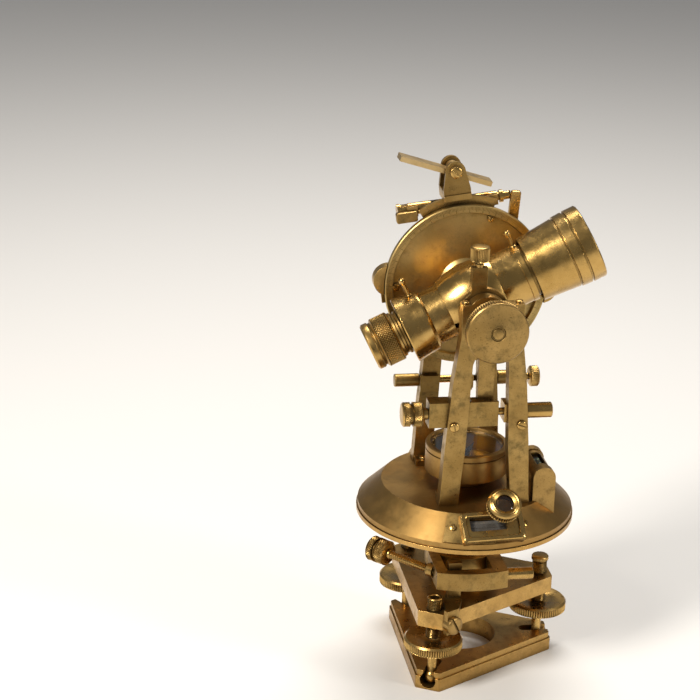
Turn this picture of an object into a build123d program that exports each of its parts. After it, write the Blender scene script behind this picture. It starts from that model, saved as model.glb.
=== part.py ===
"""Brass transit theodolite: base, levelling head, two plates, compass, standards and telescope.

Frame: origin on the vertical axis at the underside of the base, +Z up, millimetres. The trunnion
axis runs along Y with the front standard at -Y, and the telescope lies in the XZ plane with its
objective towards +X, raised by TELESCOPE_TILT.
"""

from build123d import *
import os
from math import cos, pi, radians, sin, sqrt

os.makedirs("parts", exist_ok=True)

# ---------------------------------------------------------------- driving dimensions (mm, degrees)
RUNNING = 0.05          # radial clearance of a shaft in its bearing
GAP = 0.4               # air between pieces that move past each other
PLATE_R = 51.0          # a four-inch plate
FLAT_R = 40.0           # the raised flat inside the plate's bevel
FLAT_Z = 90.5
RIM_Z = 80.0
TRUNNION_Z = 182.0
TELESCOPE_TILT = 26.0
INDEX_TILT = 7.5        # the index frame is set a little anticlockwise, seen from the front
STANDARD_IN = 23.0      # inner and outer faces of both standards, from the telescope's plane
STANDARD_OUT = 29.5
FOOT_CIRCLE = 39.0      # radius of the circle through the three foot screws
FOOT_ANGLES = {"a": -120.0, "b": 0.0, "c": 120.0}
TRUNNION_R = 6.5
AXIS_R = 5.45
CIRCLE_R = 38.7

TRUNNION = Vector(0, 0, TRUNNION_Z)
SIGHT_LINE = Vector(cos(radians(TELESCOPE_TILT)), 0, sin(radians(TELESCOPE_TILT)))
ACROSS = Plane(origin=TRUNNION, x_dir=(0, 1, 0), z_dir=(1, 0, 0))
ALONG = Plane(origin=TRUNNION, x_dir=SIGHT_LINE, z_dir=(0, -1, 0))
UPRIGHT = Plane(origin=(0, 0, 0), x_dir=(0, 0, 1), z_dir=(0, 1, 0))


# ---------------------------------------------------------------- helpers used inside a builder
def turn(plane, outline, mode=Mode.ADD, arc=360.0):
    """Turn a closed outline of (distance along, radius) pairs about the plane's own x axis."""
    with BuildSketch(plane) as profile:
        with BuildLine():
            Polyline(*outline, close=True)
        make_face()
    revolve(profile.sketch, axis=Axis(plane.origin, plane.x_dir), revolution_arc=arc, mode=mode)


def rod(start, direction, length, radius, inner=0.0, mode=Mode.ADD):
    """A straight bar, or a tube when inner is given, from a start point along a direction."""
    with BuildSketch(Plane(origin=start, z_dir=direction)) as section:
        Circle(radius)
        if inner:
            Circle(inner, mode=Mode.SUBTRACT)
    extrude(section.sketch, amount=length, mode=mode)


def block(low, high, mode=Mode.ADD):
    """A rectangular block between two opposite corners."""
    with BuildSketch(Plane.XY.offset(low[2])) as footprint:
        with Locations(((low[0] + high[0]) / 2, (low[1] + high[1]) / 2)):
            Rectangle(high[0] - low[0], high[1] - low[1])
    extrude(footprint.sketch, amount=high[2] - low[2], mode=mode)


def slab(plane, points, thickness, mode=Mode.ADD, corner=0.0):
    """A flat plate of the given outline, raised from a plane by its thickness."""
    with BuildSketch(plane) as outline:
        with BuildLine():
            Polyline(*points, close=True)
        make_face()
        if corner:
            fillet(outline.vertices(), corner)
    extrude(outline.sketch, amount=thickness, mode=mode)


def at_polar(radius, angle, height=0.0):
    """A point at a radius and an angle about the vertical axis."""
    return Vector(radius * cos(radians(angle)), radius * sin(radians(angle)), height)


def finish(made, label):
    """Label a finished piece and write it."""
    made.part.label = label
    export_step(made.part, f"parts/{label}.step")


# ---------------------------------------------------------------- base
BASE_T = 6.3
LOCK_T = 3.0
BASE_R = 45.0
BASE_FACET = 6.0
TRIPOD_R = 18.0
BALL_Z = 4.65
BALL_R = 3.6
STEM_R = 2.25
SOCKET_R = BALL_R + 0.3
SLOT_W = 2 * (STEM_R + GAP)


def three_corners(reach, half_facet):
    """The outline of a triangle with its corners cut square, a corner on each foot screw."""
    points = []
    for angle in FOOT_ANGLES.values():
        out = at_polar(reach, angle)
        side = at_polar(half_facet, angle + 90)
        points += [((out - side).X, (out - side).Y), ((out + side).X, (out + side).Y)]
    return points


with BuildPart() as base_plate:
    slab(Plane.XY, three_corners(BASE_R, BASE_FACET), BASE_T, corner=1.5)
    Hole(TRIPOD_R)
    for angle in FOOT_ANGLES.values():
        rod(at_polar(FOOT_CIRCLE, angle, BALL_Z), at_polar(1, angle), BASE_R, SOCKET_R, mode=Mode.SUBTRACT)
        with Locations(at_polar(FOOT_CIRCLE, angle, BALL_Z)):
            Sphere(SOCKET_R, mode=Mode.SUBTRACT)
finish(base_plate, "base_plate")

with BuildPart() as base_lock_plate:
    slab(Plane.XY.offset(BASE_T), three_corners(BASE_R - 0.7, BASE_FACET - 0.3), LOCK_T, corner=1.5)
    with BuildSketch(Plane.XY.offset(BASE_T)):
        Circle(TRIPOD_R)
        for angle in FOOT_ANGLES.values():
            with Locations(Location(at_polar(FOOT_CIRCLE, angle), (0, 0, 1), angle)):
                SlotCenterToCenter(2 * (BASE_R - FOOT_CIRCLE), SLOT_W)
    extrude(amount=LOCK_T, mode=Mode.SUBTRACT)
    for angle in FOOT_ANGLES.values():
        rod(at_polar(FOOT_CIRCLE, angle, BALL_Z), at_polar(1, angle), BASE_R, SOCKET_R, mode=Mode.SUBTRACT)
        with Locations(at_polar(FOOT_CIRCLE, angle, BALL_Z)):
            Sphere(SOCKET_R, mode=Mode.SUBTRACT)
finish(base_lock_plate, "base_lock_plate")

# ---------------------------------------------------------------- levelling head
TRIBRACH_Z0, TRIBRACH_Z1 = 32.0, 40.0
TRIBRACH_R = 44.0
TRIBRACH_FACET = 6.4
THREAD_R = 3.6
FOOT_TOP = 46.0
HEAD_Z0, HEAD_Z1 = 20.0, 25.5
HEAD_R = 13.8
JOURNAL_R = 3.2
HUB_R = 15.0
HUB_TOP = 46.5
HUB_FOOT = 28.0
OUTER_AXIS_R = 9.0

with BuildPart() as tribrach:
    slab(Plane.XY.offset(TRIBRACH_Z0), three_corners(TRIBRACH_R, TRIBRACH_FACET),
         TRIBRACH_Z1 - TRIBRACH_Z0, corner=1.5)
    turn(UPRIGHT, [(HUB_FOOT, 0), (HUB_FOOT, HUB_R - 2), (HUB_FOOT + 2, HUB_R), (HUB_TOP - 1, HUB_R),
                   (HUB_TOP, HUB_R - 1), (HUB_TOP, 0)])
    rod((0, 0, HUB_FOOT), (0, 0, 1), HUB_TOP - HUB_FOOT, OUTER_AXIS_R + RUNNING, mode=Mode.SUBTRACT)
    for angle in FOOT_ANGLES.values():
        rod(at_polar(FOOT_CIRCLE, angle, TRIBRACH_Z0), (0, 0, 1), TRIBRACH_Z1 - TRIBRACH_Z0,
            THREAD_R + RUNNING, mode=Mode.SUBTRACT)
finish(tribrach, "tribrach")


def foot_spindle(centre):
    """Ball, stem, journal for the knurled head, thread and hollow top of one foot screw."""
    foot = Plane(origin=centre, x_dir=(0, 0, 1), z_dir=(0, 1, 0))
    turn(foot, [(BALL_Z, 0), (BALL_Z, STEM_R), (HEAD_Z0 - 2.5, STEM_R), (HEAD_Z0 - 1.5, 4.6),
                (HEAD_Z0 - 0.05, 4.6), (HEAD_Z0 - 0.05, JOURNAL_R), (HEAD_Z1 + 0.05, JOURNAL_R),
                (HEAD_Z1 + 0.05, THREAD_R), (FOOT_TOP, THREAD_R), (FOOT_TOP, 2.2), (FOOT_TOP - 3, 2.2),
                (FOOT_TOP - 3, 0)])
    with Locations(Vector(*centre) + Vector(0, 0, BALL_Z)):
        Sphere(BALL_R)


def foot_head(centre, bore):
    """The knurled head of one foot screw, with the radius of its hole."""
    foot = Plane(origin=centre, x_dir=(0, 0, 1), z_dir=(0, 1, 0))
    turn(foot, [(HEAD_Z0, bore), (HEAD_Z0, HEAD_R - 2.5), (HEAD_Z0 + 1, HEAD_R), (HEAD_Z1 - 0.8, HEAD_R),
                (HEAD_Z1, HEAD_R - 0.8), (HEAD_Z1, bore)])


for name in ("a", "c"):
    with BuildPart() as foot_screw:
        foot_spindle(at_polar(FOOT_CIRCLE, FOOT_ANGLES[name]))
        foot_head(at_polar(FOOT_CIRCLE, FOOT_ANGLES[name]), 0)
    finish(foot_screw, f"foot_screw_{name}")

# Foot screw b carries a small dust cap on its top, as a second solid of the same node.
CAP_R = 4.1
with BuildPart() as foot_screw_b:
    centre = at_polar(FOOT_CIRCLE, FOOT_ANGLES["b"])
    foot_spindle(centre)
    turn(Plane(origin=centre, x_dir=(0, 0, 1), z_dir=(0, 1, 0)),
         [(FOOT_TOP + 0.02, 0), (FOOT_TOP + 0.02, CAP_R - 0.6), (FOOT_TOP + 0.6, CAP_R),
          (FOOT_TOP + 2.2, CAP_R), (FOOT_TOP + 2.8, CAP_R - 0.6), (FOOT_TOP + 2.8, 0)])
finish(foot_screw_b, "foot_screw_b")

with BuildPart() as foot_screw_b_head:
    foot_head(at_polar(FOOT_CIRCLE, FOOT_ANGLES["b"]), JOURNAL_R + RUNNING)
finish(foot_screw_b_head, "foot_screw_b_head")

# The lug stands on the tribrach and is screwed to its side between foot screws a and b.
LUG_X0, LUG_X1 = -12.2, -6.0
LUG_Y0, LUG_Y1 = -28.0, -24.0
LUG_TOP = 60.0
LUG_T = 2.6
SIDE_ANGLE = -60.0
SIDE_D = TRIBRACH_R * cos(radians(60)) + TRIBRACH_FACET * sin(radians(60))
TAB_U0, TAB_U1 = -35.0, -28.0
TAB_Z0 = 30.5


def on_side(along, out, height=0.0):
    """A point along the tribrach's side between screws a and b, and out from it."""
    return at_polar(out, SIDE_ANGLE, height) + at_polar(along, SIDE_ANGLE + 90)


with BuildPart() as tangent_lug:
    block((LUG_X0, LUG_Y0, TRIBRACH_Z1), (LUG_X1, LUG_Y1, LUG_TOP))
    tab_low, tab_high = on_side(TAB_U0, SIDE_D + LUG_T), on_side(TAB_U1, SIDE_D + LUG_T)
    in_low, in_high = on_side(TAB_U0, SIDE_D), on_side(TAB_U1, SIDE_D)
    slab(Plane.XY.offset(TRIBRACH_Z1), [(LUG_X0, LUG_Y1), (LUG_X1, LUG_Y1), (LUG_X1, LUG_Y0 - 3),
                                        (tab_high.X, tab_high.Y), (tab_low.X, tab_low.Y),
                                        (LUG_X0 - 3, LUG_Y0 - 4)], LUG_T)
    slab(Plane.XY.offset(TAB_Z0), [(tab_low.X, tab_low.Y), (tab_high.X, tab_high.Y),
                                   (in_high.X, in_high.Y), (in_low.X, in_low.Y)],
         TRIBRACH_Z1 + LUG_T - TAB_Z0)
    rod(on_side((TAB_U0 + TAB_U1) / 2, SIDE_D, 35.0), at_polar(1, SIDE_ANGLE), LUG_T, 1.8,
        mode=Mode.SUBTRACT)
finish(tangent_lug, "tangent_lug")

with BuildPart() as lug_screw:
    head_at = on_side((TAB_U0 + TAB_U1) / 2, SIDE_D + LUG_T, 35.0)
    with BuildSketch(Plane(origin=head_at, z_dir=at_polar(1, SIDE_ANGLE))):
        Circle(3.9)
    extrude(amount=2.4, taper=25)
    rod(head_at, at_polar(-1, SIDE_ANGLE), LUG_T, 1.8)
finish(lug_screw, "lug_screw")

# ---------------------------------------------------------------- limb and axes
LIMB_R = 51.6
LIMB_Z0, LIMB_Z1 = 75.0, 77.3
LIMB_HUB_R = 13.0
LIMB_HUB_Z = 47.0
AXIS_FOOT = 28.4
SEAT_Z = 84.0

with BuildPart() as limb:
    turn(UPRIGHT, [(AXIS_FOOT, AXIS_R + RUNNING), (AXIS_FOOT, OUTER_AXIS_R), (LIMB_HUB_Z, OUTER_AXIS_R),
                   (LIMB_HUB_Z, LIMB_HUB_R), (60, LIMB_HUB_R), (66, 16), (72, 26), (LIMB_Z0, 30),
                   (LIMB_Z0, LIMB_R - 0.3), (LIMB_Z0 + 0.3, LIMB_R), (LIMB_Z1, LIMB_R), (LIMB_Z1, 12),
                   (SEAT_Z, 12), (SEAT_Z, AXIS_R + RUNNING)])
finish(limb, "limb")

with BuildPart() as inner_axis:
    turn(UPRIGHT, [(24.5, 0), (24.5, 3.0), (28.0, 3.0), (28.0, AXIS_R), (SEAT_Z + 0.1, AXIS_R),
                   (SEAT_Z + 0.1, 12), (87.5, 12), (87.5, 0)])
finish(inner_axis, "inner_axis")

with BuildPart() as axis_nut:
    with BuildSketch(Plane.XY.offset(24.9)):
        RegularPolygon(7.5, 6)
        Circle(3.0, mode=Mode.SUBTRACT)
    extrude(amount=2.9)
finish(axis_nut, "axis_nut")

# ---------------------------------------------------------------- lower clamp and tangent motion
FRAME_Z0, FRAME_Z1 = 48.2, 57.0
COLLAR_R = 18.0
ARM_L0, ARM_L1 = -18.3, -13.3
ARM_R0, ARM_R1 = 8.5, 15.5
BAR_Y = -29.0
LOWER_SCREW_Z = 52.5
SCREW_R = 2.0
SCREW_AT = Vector(-15.6, -22.0, LOWER_SCREW_Z)
SCREW_DIR = Vector(-0.661, 0.750, 0)
BARREL_Y = -26.5

with BuildPart() as lower_clamp_frame:
    with BuildSketch(Plane.XY.offset(FRAME_Z0)):
        Circle(COLLAR_R)
        with BuildLine():
            Polyline((ARM_L1, -8), (ARM_L0, -8), (ARM_L0, -31))
            ThreePointArc((ARM_L0, -31), (-1.4, -34.4), (ARM_R1, -32))
            Polyline((ARM_R1, -32), (ARM_R1, -8), (ARM_R0, -8), (ARM_R0, BAR_Y), (ARM_L1, BAR_Y),
                     (ARM_L1, -8))
        make_face()
        Circle(LIMB_HUB_R + RUNNING, mode=Mode.SUBTRACT)
    extrude(amount=FRAME_Z1 - FRAME_Z0)
    boss_at = SCREW_AT + SCREW_DIR * 9
    rod(boss_at - SCREW_DIR * 3, SCREW_DIR * -1, 3.5, 3.2)
    rod(SCREW_AT + SCREW_DIR * 12, SCREW_DIR * -1, 16.5, SCREW_R + RUNNING, mode=Mode.SUBTRACT)
    rod((ARM_R0 - 1, BARREL_Y, LOWER_SCREW_Z), (1, 0, 0), 12, 1.6 + RUNNING, mode=Mode.SUBTRACT)
    rod((0, COLLAR_R + 4, LOWER_SCREW_Z), (0, -1, 0), 12, 2.0 + RUNNING, mode=Mode.SUBTRACT)
finish(lower_clamp_frame, "lower_clamp_frame")

with BuildPart() as lower_clamp_screw:
    turn(Plane(origin=(0, LIMB_HUB_R + 0.4, LOWER_SCREW_Z), x_dir=(0, 1, 0), z_dir=(1, 0, 0)),
         [(0, 0), (0, 2.0), (9.0, 2.0), (9.0, 5.5), (9.8, 6.2), (15.2, 6.2), (16, 5.5), (16, 0)])
finish(lower_clamp_screw, "lower_clamp_screw")


def two_part_knob(at, direction, face, length, radius):
    """A turned knob with a groove round its middle, from face to face + length along its screw."""
    groove = 0.55 * length
    turn(Plane(origin=at, x_dir=direction, z_dir=(0, 0, 1)),
         [(face, 0), (face, radius - 0.7), (face + 0.7, radius), (face + groove - 0.6, radius),
          (face + groove - 0.6, radius - 0.9), (face + groove + 0.6, radius - 0.9),
          (face + groove + 0.6, radius), (face + length - 0.7, radius),
          (face + length, radius - 0.7), (face + length, 0)])


LOWER_KNOB_FACE = 30.2
SCREW_TIP = -2.4
with BuildPart() as lower_tangent_screw:
    rod(SCREW_AT + SCREW_DIR * SCREW_TIP, SCREW_DIR, LOWER_KNOB_FACE - SCREW_TIP, SCREW_R)
    two_part_knob(SCREW_AT, SCREW_DIR, LOWER_KNOB_FACE, 10.5, 6.1)
finish(lower_tangent_screw, "lower_tangent_screw")


def spring_barrel(at, direction, length, radius, wall):
    """A closed tube with a hole for the plunger's rod at its open end."""
    turn(Plane(origin=at, x_dir=direction, z_dir=(0, 0, 1)),
         [(0, 1.9), (0, radius - 0.3), (0.3, radius), (length - 0.3, radius), (length, radius - 0.3), (length, 0), (length - 2, 0),
          (length - 2, radius - wall), (1.0, radius - wall), (1.0, 1.9)])


def plunger(at, direction, reach, head_at, head_r, rod_r):
    """A spring plunger: a rod with a head inside its barrel."""
    turn(Plane(origin=at, x_dir=direction, z_dir=(0, 0, 1)),
         [(0, 0), (0, rod_r - 0.5), (0.5, rod_r), (head_at, rod_r), (head_at, head_r),
          (head_at + reach, head_r), (head_at + reach, 0)])


LOWER_BARREL_L = 13.0
with BuildPart() as lower_spring_barrel:
    spring_barrel((ARM_R1, BARREL_Y, LOWER_SCREW_Z), (1, 0, 0), LOWER_BARREL_L, 2.9, 0.7)
finish(lower_spring_barrel, "lower_spring_barrel")

with BuildPart() as lower_plunger:
    start = LUG_X1 + 0.2
    plunger((start, BARREL_Y, LOWER_SCREW_Z), (1, 0, 0), 1.2, ARM_R1 + 2.2 - start, 2.1, 1.6)
finish(lower_plunger, "lower_plunger")


def spring_envelope(at, direction, length, outer, inner):
    """A coil spring drawn as the sleeve that its turns fill."""
    rod(at, direction, length, outer, inner=inner)


with BuildPart() as lower_spring:
    spring_envelope((ARM_R1 + 4.8, BARREL_Y, LOWER_SCREW_Z), (1, 0, 0), 6.1, 2.05, 1.45)
finish(lower_spring, "lower_spring")

# ---------------------------------------------------------------- upper plate
PLATE_Z0 = 77.5
PLATE_WALL = 3.0


def plate_outline(raise_by=0.0):
    """The outside of the coned plate, as (height, radius) pairs down to its underside."""
    return [(PLATE_Z0, 0), (PLATE_Z0, PLATE_R), (RIM_Z + raise_by, PLATE_R), (FLAT_Z + raise_by, FLAT_R),
            (FLAT_Z + raise_by, 0)]


BEVEL_MID_R = (PLATE_R + FLAT_R) / 2
BEVEL_MID_Z = (RIM_Z + FLAT_Z) / 2
SLANT = sqrt((PLATE_R - FLAT_R) ** 2 + (FLAT_Z - RIM_Z) ** 2)
DOWN_R, DOWN_Z = (PLATE_R - FLAT_R) / SLANT, -(FLAT_Z - RIM_Z) / SLANT


def bevel_band(start, end, low, high, bottom, top, mode=Mode.ADD):
    """A band on the bevel: angles about Z, low to high up the slant, bottom to top off its face."""
    middle = (low + high) / 2
    plane = Plane(origin=(0, 0, 0), x_dir=at_polar(1, start), z_dir=at_polar(-1, start + 90))
    corners = []
    for up, off in ((low, bottom), (high, bottom), (high, top), (low, top)):
        corners.append((BEVEL_MID_R - up * DOWN_R - off * DOWN_Z, BEVEL_MID_Z - up * DOWN_Z + off * DOWN_R))
    with BuildSketch(plane) as band:
        with BuildLine():
            Polyline(*corners, close=True)
        make_face()
    revolve(band.sketch, axis=Axis.Z, revolution_arc=end - start, mode=mode)


VERNIER_MID = {"front": -86.0, "rear": 94.0}
FRAME_HALF = 19.0
WINDOW_HALF = 11.5

with BuildPart() as upper_plate:
    turn(UPRIGHT, plate_outline())
    turn(UPRIGHT, [(PLATE_Z0, 0), (PLATE_Z0, PLATE_R - 3), (RIM_Z - 0.6, PLATE_R - 3),
                   (FLAT_Z - PLATE_WALL, FLAT_R - 1.2), (FLAT_Z - PLATE_WALL, 0)], mode=Mode.SUBTRACT)
    for middle in VERNIER_MID.values():
        bevel_band(middle - WINDOW_HALF - 1.9, middle + WINDOW_HALF - 1.9, -1.2, 4.6, -6, 6,
                   mode=Mode.SUBTRACT)
finish(upper_plate, "upper_plate")

FRAME_L, FRAME_H, FRAME_T = 29.6, 14.8, 2.3
WINDOW_L, WINDOW_H = 17.4, 6.8
FRAME_UP, WINDOW_UP = 0.6, 1.9
WINDOW_SHIFT = -1.9

with BuildPart() as vernier_frames:
    for middle in VERNIER_MID.values():
        bevel_band(middle - FRAME_HALF - 8, middle, -7.3, 7.2, 0, 1.0)
        bevel = Plane(origin=at_polar(BEVEL_MID_R, middle, BEVEL_MID_Z), x_dir=at_polar(1, middle + 90),
                      z_dir=at_polar(-DOWN_Z, middle, DOWN_R))
        with BuildSketch(bevel.offset(-3)) as frame:
            with Locations((0, FRAME_UP)):
                RectangleRounded(FRAME_L, FRAME_H, 1.6)
        extrude(frame.sketch, amount=3 + FRAME_T)
        with BuildSketch(bevel.offset(-3)) as window:
            with Locations((WINDOW_SHIFT, WINDOW_UP)):
                RectangleRounded(WINDOW_L, WINDOW_H, 1.2)
        extrude(window.sketch, amount=3 + FRAME_T + 1, mode=Mode.SUBTRACT)
    turn(UPRIGHT, plate_outline(), mode=Mode.SUBTRACT)
finish(vernier_frames, "vernier_frames")

with BuildPart() as verniers:
    for middle in VERNIER_MID.values():
        bevel_band(middle - WINDOW_HALF - 1.6, middle + WINDOW_HALF - 2.2, -0.9, 4.3, -1.6, -0.6)
finish(verniers, "verniers")

# ---------------------------------------------------------------- magnifier over the front vernier
POST_AT = Vector(5.5, -35.3, FLAT_Z)
LENS_AT = Vector(8.0, -45.6, 96.5)
LENS_DIR = Vector(0, -cos(radians(50)), sin(radians(50)))
RING_R = 8.0

with BuildPart() as plate_magnifier:
    rod(POST_AT, (0, 0, 1), 3.2, 2.6)
    rod(POST_AT + Vector(0, 0, 3.2), (0, 0, 1), 2.0, 3.0)
    arm = LENS_AT - LENS_DIR * 2.0 - Vector(5.6, 0, 0) - POST_AT - Vector(0, 0, 4.2)
    rod(POST_AT + Vector(0, 0, 4.2), arm, arm.length, 1.5)
    turn(Plane(origin=LENS_AT, x_dir=LENS_DIR, z_dir=(1, 0, 0)),
         [(-3.4, 4.6), (-3.4, 6.4), (-0.2, 6.4), (-0.2, RING_R), (3.2, RING_R), (3.8, RING_R - 0.6),
          (3.8, 5.4), (1.6, 5.4), (1.6, 4.6)])
    rod(LENS_AT + LENS_DIR * -3.4, LENS_DIR, 7.2, 4.6, mode=Mode.SUBTRACT)
finish(plate_magnifier, "plate_magnifier")

with BuildPart() as plate_magnifier_lens:
    turn(Plane(origin=LENS_AT, x_dir=LENS_DIR, z_dir=(1, 0, 0)),
         [(1.65, 0), (1.65, 5.35), (2.3, 5.35), (2.9, 3.6), (3.15, 0)])
finish(plate_magnifier_lens, "plate_magnifier_lens")

# ---------------------------------------------------------------- plate level
LEVEL_X = 31.0
LEVEL_Y0, LEVEL_Y1 = -29.0, -1.5
LEVEL_BLOCK = 4.2
LEVEL_W = 10.6
LEVEL_Z = 102.0
LEVEL_TUBE_R = 4.6

with BuildPart() as plate_level_case:
    for near in (LEVEL_Y0, LEVEL_Y1 - LEVEL_BLOCK):
        with BuildSketch(Plane(origin=(LEVEL_X, near, 0), x_dir=(1, 0, 0), z_dir=(0, -1, 0))):
            with Locations((0, (84 + LEVEL_Z) / 2)):
                Rectangle(LEVEL_W, LEVEL_Z - 84)
            with Locations((0, LEVEL_Z)):
                Circle(LEVEL_W / 2)
        extrude(amount=-LEVEL_BLOCK)
    rod((LEVEL_X, LEVEL_Y0 + LEVEL_BLOCK, LEVEL_Z), (0, 1, 0), LEVEL_Y1 - LEVEL_Y0 - 2 * LEVEL_BLOCK,
        LEVEL_TUBE_R)
    rod((LEVEL_X, LEVEL_Y0 + 1.5, LEVEL_Z), (0, 1, 0), LEVEL_Y1 - LEVEL_Y0 - 3, 3.4, mode=Mode.SUBTRACT)
    window_y0, window_y1 = LEVEL_Y0 + LEVEL_BLOCK + 3, LEVEL_Y1 - LEVEL_BLOCK - 3
    block((LEVEL_X - 2.2, window_y0, LEVEL_Z), (LEVEL_X + 2.2, window_y1, LEVEL_Z + 9),
          mode=Mode.SUBTRACT)
    turn(UPRIGHT, plate_outline(), mode=Mode.SUBTRACT)
finish(plate_level_case, "plate_level_case")

with BuildPart() as plate_level_vial:
    rod((LEVEL_X, LEVEL_Y0 + 1.55, LEVEL_Z), (0, 1, 0), LEVEL_Y1 - LEVEL_Y0 - 3.1, 3.35)
finish(plate_level_vial, "plate_level_vial")

# ---------------------------------------------------------------- compass
DRUM_R = 19.6
DRUM_Z0, DRUM_Z1 = 96.0, 109.8
DRUM_WALL_R = 17.0

with BuildPart() as compass_box:
    turn(UPRIGHT, [(FLAT_Z, 0), (FLAT_Z, 10), (DRUM_Z0, 10), (DRUM_Z0, DRUM_R - 0.4),
                   (DRUM_Z0 + 0.4, DRUM_R), (106.4, DRUM_R), (106.6, DRUM_R - 0.5), (106.9, DRUM_R - 0.5),
                   (107.1, DRUM_R), (DRUM_Z1 - 0.5, DRUM_R), (DRUM_Z1, DRUM_R - 0.5),
                   (DRUM_Z1, DRUM_WALL_R + 0.4), (108.6, DRUM_WALL_R + 0.1), (107.2, DRUM_WALL_R + 0.1),
                   (107.2, DRUM_WALL_R - 1), (98.2, DRUM_WALL_R - 1), (98.2, 0)])
finish(compass_box, "compass_box")

with BuildPart() as compass_dial:
    turn(UPRIGHT, [(98.2, 0), (98.2, DRUM_WALL_R - 1.1), (99.0, DRUM_WALL_R - 1.1), (99.0, 1.6),
                   (100.5, 0.7), (102.9, 0.25), (103.1, 0)])
finish(compass_dial, "compass_dial")

NEEDLE_L = 13.2
NEEDLE_ANGLE = 62.0
with BuildPart() as compass_needle:
    with BuildSketch(Plane.XY.offset(103.4)):
        with BuildLine(Plane.XY.rotated((0, 0, NEEDLE_ANGLE))):
            Polyline((NEEDLE_L, 0), (0, 1.5), (-NEEDLE_L, 0), (0, -1.5), close=True)
        make_face()
    extrude(amount=0.5)
    turn(UPRIGHT, [(102.2, 0.9), (102.2, 1.7), (104.3, 1.7), (105.0, 0.8), (105.0, 0), (103.3, 0),
                   (103.3, 0.9)])
finish(compass_needle, "compass_needle")

with BuildPart() as compass_glass:
    rod((0, 0, 107.25), (0, 0, 1), 1.2, DRUM_WALL_R + 0.05)
finish(compass_glass, "compass_glass")

# ---------------------------------------------------------------- standards
HEAD_W = 14.2
HEAD_TOP = TRUNNION_Z + 6.0
ARCH_R = 8.4
ARCH_Z = 158.0
CAP_DOME_R = 9.9
FRONT_SCREW_Z = 134.4
FRONT_SCREW_Y = -23.8
NOTCH_Y = -27.6
FRONT_SHIFT = 2.6        # the front frame stands this far towards the objective
HOUSING_X0, HOUSING_X1 = -24.4, 7.8
HOUSING_Y0, HOUSING_Y1 = -27.0, -18.6
HOUSING_Z0, HOUSING_Z1 = 128.4, 140.4
HOUSING_STEP = -6.6      # the tongue hangs between this face and the spring plunger
FOOT_HALF = 4.4
BARREL_FOOT_X0, BARREL_FOOT_X1 = 10.6, 20.4
SCREW_Y = (STANDARD_IN + STANDARD_OUT) / 2
CLIP_Z = 131.6
LEG_OUT = [(21.4, FLAT_Z), (20.9, 94.0), (19.7, 118.0), (17.2, 150.0), (14.6, 170.0),
           (HEAD_W, 173.0), (HEAD_W, TRUNNION_Z)]
LEG_IN = [(ARCH_R, ARCH_Z), (10.1, 118.0), (12.0, 95.0), (12.2, FLAT_Z)]


def standard(side):
    """One A-frame. side is -1 at the front and +1 at the rear."""
    shift = FRONT_SHIFT if side < 0 else 0.0
    face = Plane(origin=(shift, side * STANDARD_IN, 0), x_dir=(1, 0, 0), z_dir=(0, -1, 0))
    depth = (STANDARD_OUT - STANDARD_IN) * (-side)
    with BuildSketch(face) as frame:
        with BuildLine():
            Polyline(*[(-x, z) for x, z in reversed(LEG_IN)])
            ThreePointArc((-ARCH_R, ARCH_Z), (0, ARCH_Z + ARCH_R), (ARCH_R, ARCH_Z))
            Polyline(*LEG_IN)
            Polyline((LEG_IN[-1]), *LEG_OUT, *[(-x, z) for x, z in reversed(LEG_OUT)],
                     (-LEG_IN[-1][0], LEG_IN[-1][1]))
        make_face()
        with Locations((-shift, TRUNNION_Z)):
            Circle(TRUNNION_R + RUNNING, mode=Mode.SUBTRACT)
    extrude(frame.sketch, amount=depth)
    for x in (-1, 1):
        low_y, high_y = sorted((side * (STANDARD_IN - 5.5), side * STANDARD_IN))
        block((shift + min(x * 12.4, x * 20.6), low_y, FLAT_Z),
              (shift + max(x * 12.4, x * 20.6), high_y, FLAT_Z + 2.6))


with BuildPart() as front_standard:
    standard(-1)
    block((HOUSING_X0 - 1, NOTCH_Y, HOUSING_Z0), (HOUSING_STEP, -STANDARD_IN, HOUSING_Z1),
          mode=Mode.SUBTRACT)
    block((HOUSING_STEP, HOUSING_Y0, HOUSING_Z0), (0, -STANDARD_IN, HOUSING_Z1), mode=Mode.SUBTRACT)
    block((4.0, NOTCH_Y, FRONT_SCREW_Z - FOOT_HALF), (BARREL_FOOT_X1 + 4, -STANDARD_IN,
                                                         FRONT_SCREW_Z + FOOT_HALF), mode=Mode.SUBTRACT)
finish(front_standard, "front_standard")

with BuildPart() as rear_standard:
    standard(1)
    for x in (-1, 1):
        rod((x * 24, SCREW_Y, CLIP_Z), (-x, 0, 0), 18, 2.2 if x < 0 else 2.5, mode=Mode.SUBTRACT)
finish(rear_standard, "rear_standard")

with BuildPart() as bearing_caps:
    for side in (-1, 1):
        face = Plane(origin=(0, side * STANDARD_IN, 0), x_dir=(1, 0, 0), z_dir=(0, -1, 0))
        with BuildSketch(face):
            with Locations((FRONT_SHIFT if side < 0 else 0, (TRUNNION_Z + HEAD_TOP) / 2)):
                Rectangle(2 * HEAD_W, HEAD_TOP - TRUNNION_Z)
            with Locations((0, TRUNNION_Z)):
                Circle(CAP_DOME_R)
            with Locations((0, TRUNNION_Z - CAP_DOME_R)):
                Rectangle(4 * HEAD_W, 2 * CAP_DOME_R, mode=Mode.SUBTRACT)
            with Locations((0, TRUNNION_Z)):
                Circle(TRUNNION_R + RUNNING, mode=Mode.SUBTRACT)
        extrude(amount=(STANDARD_OUT - STANDARD_IN) * (-side))
finish(bearing_caps, "bearing_caps")

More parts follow.
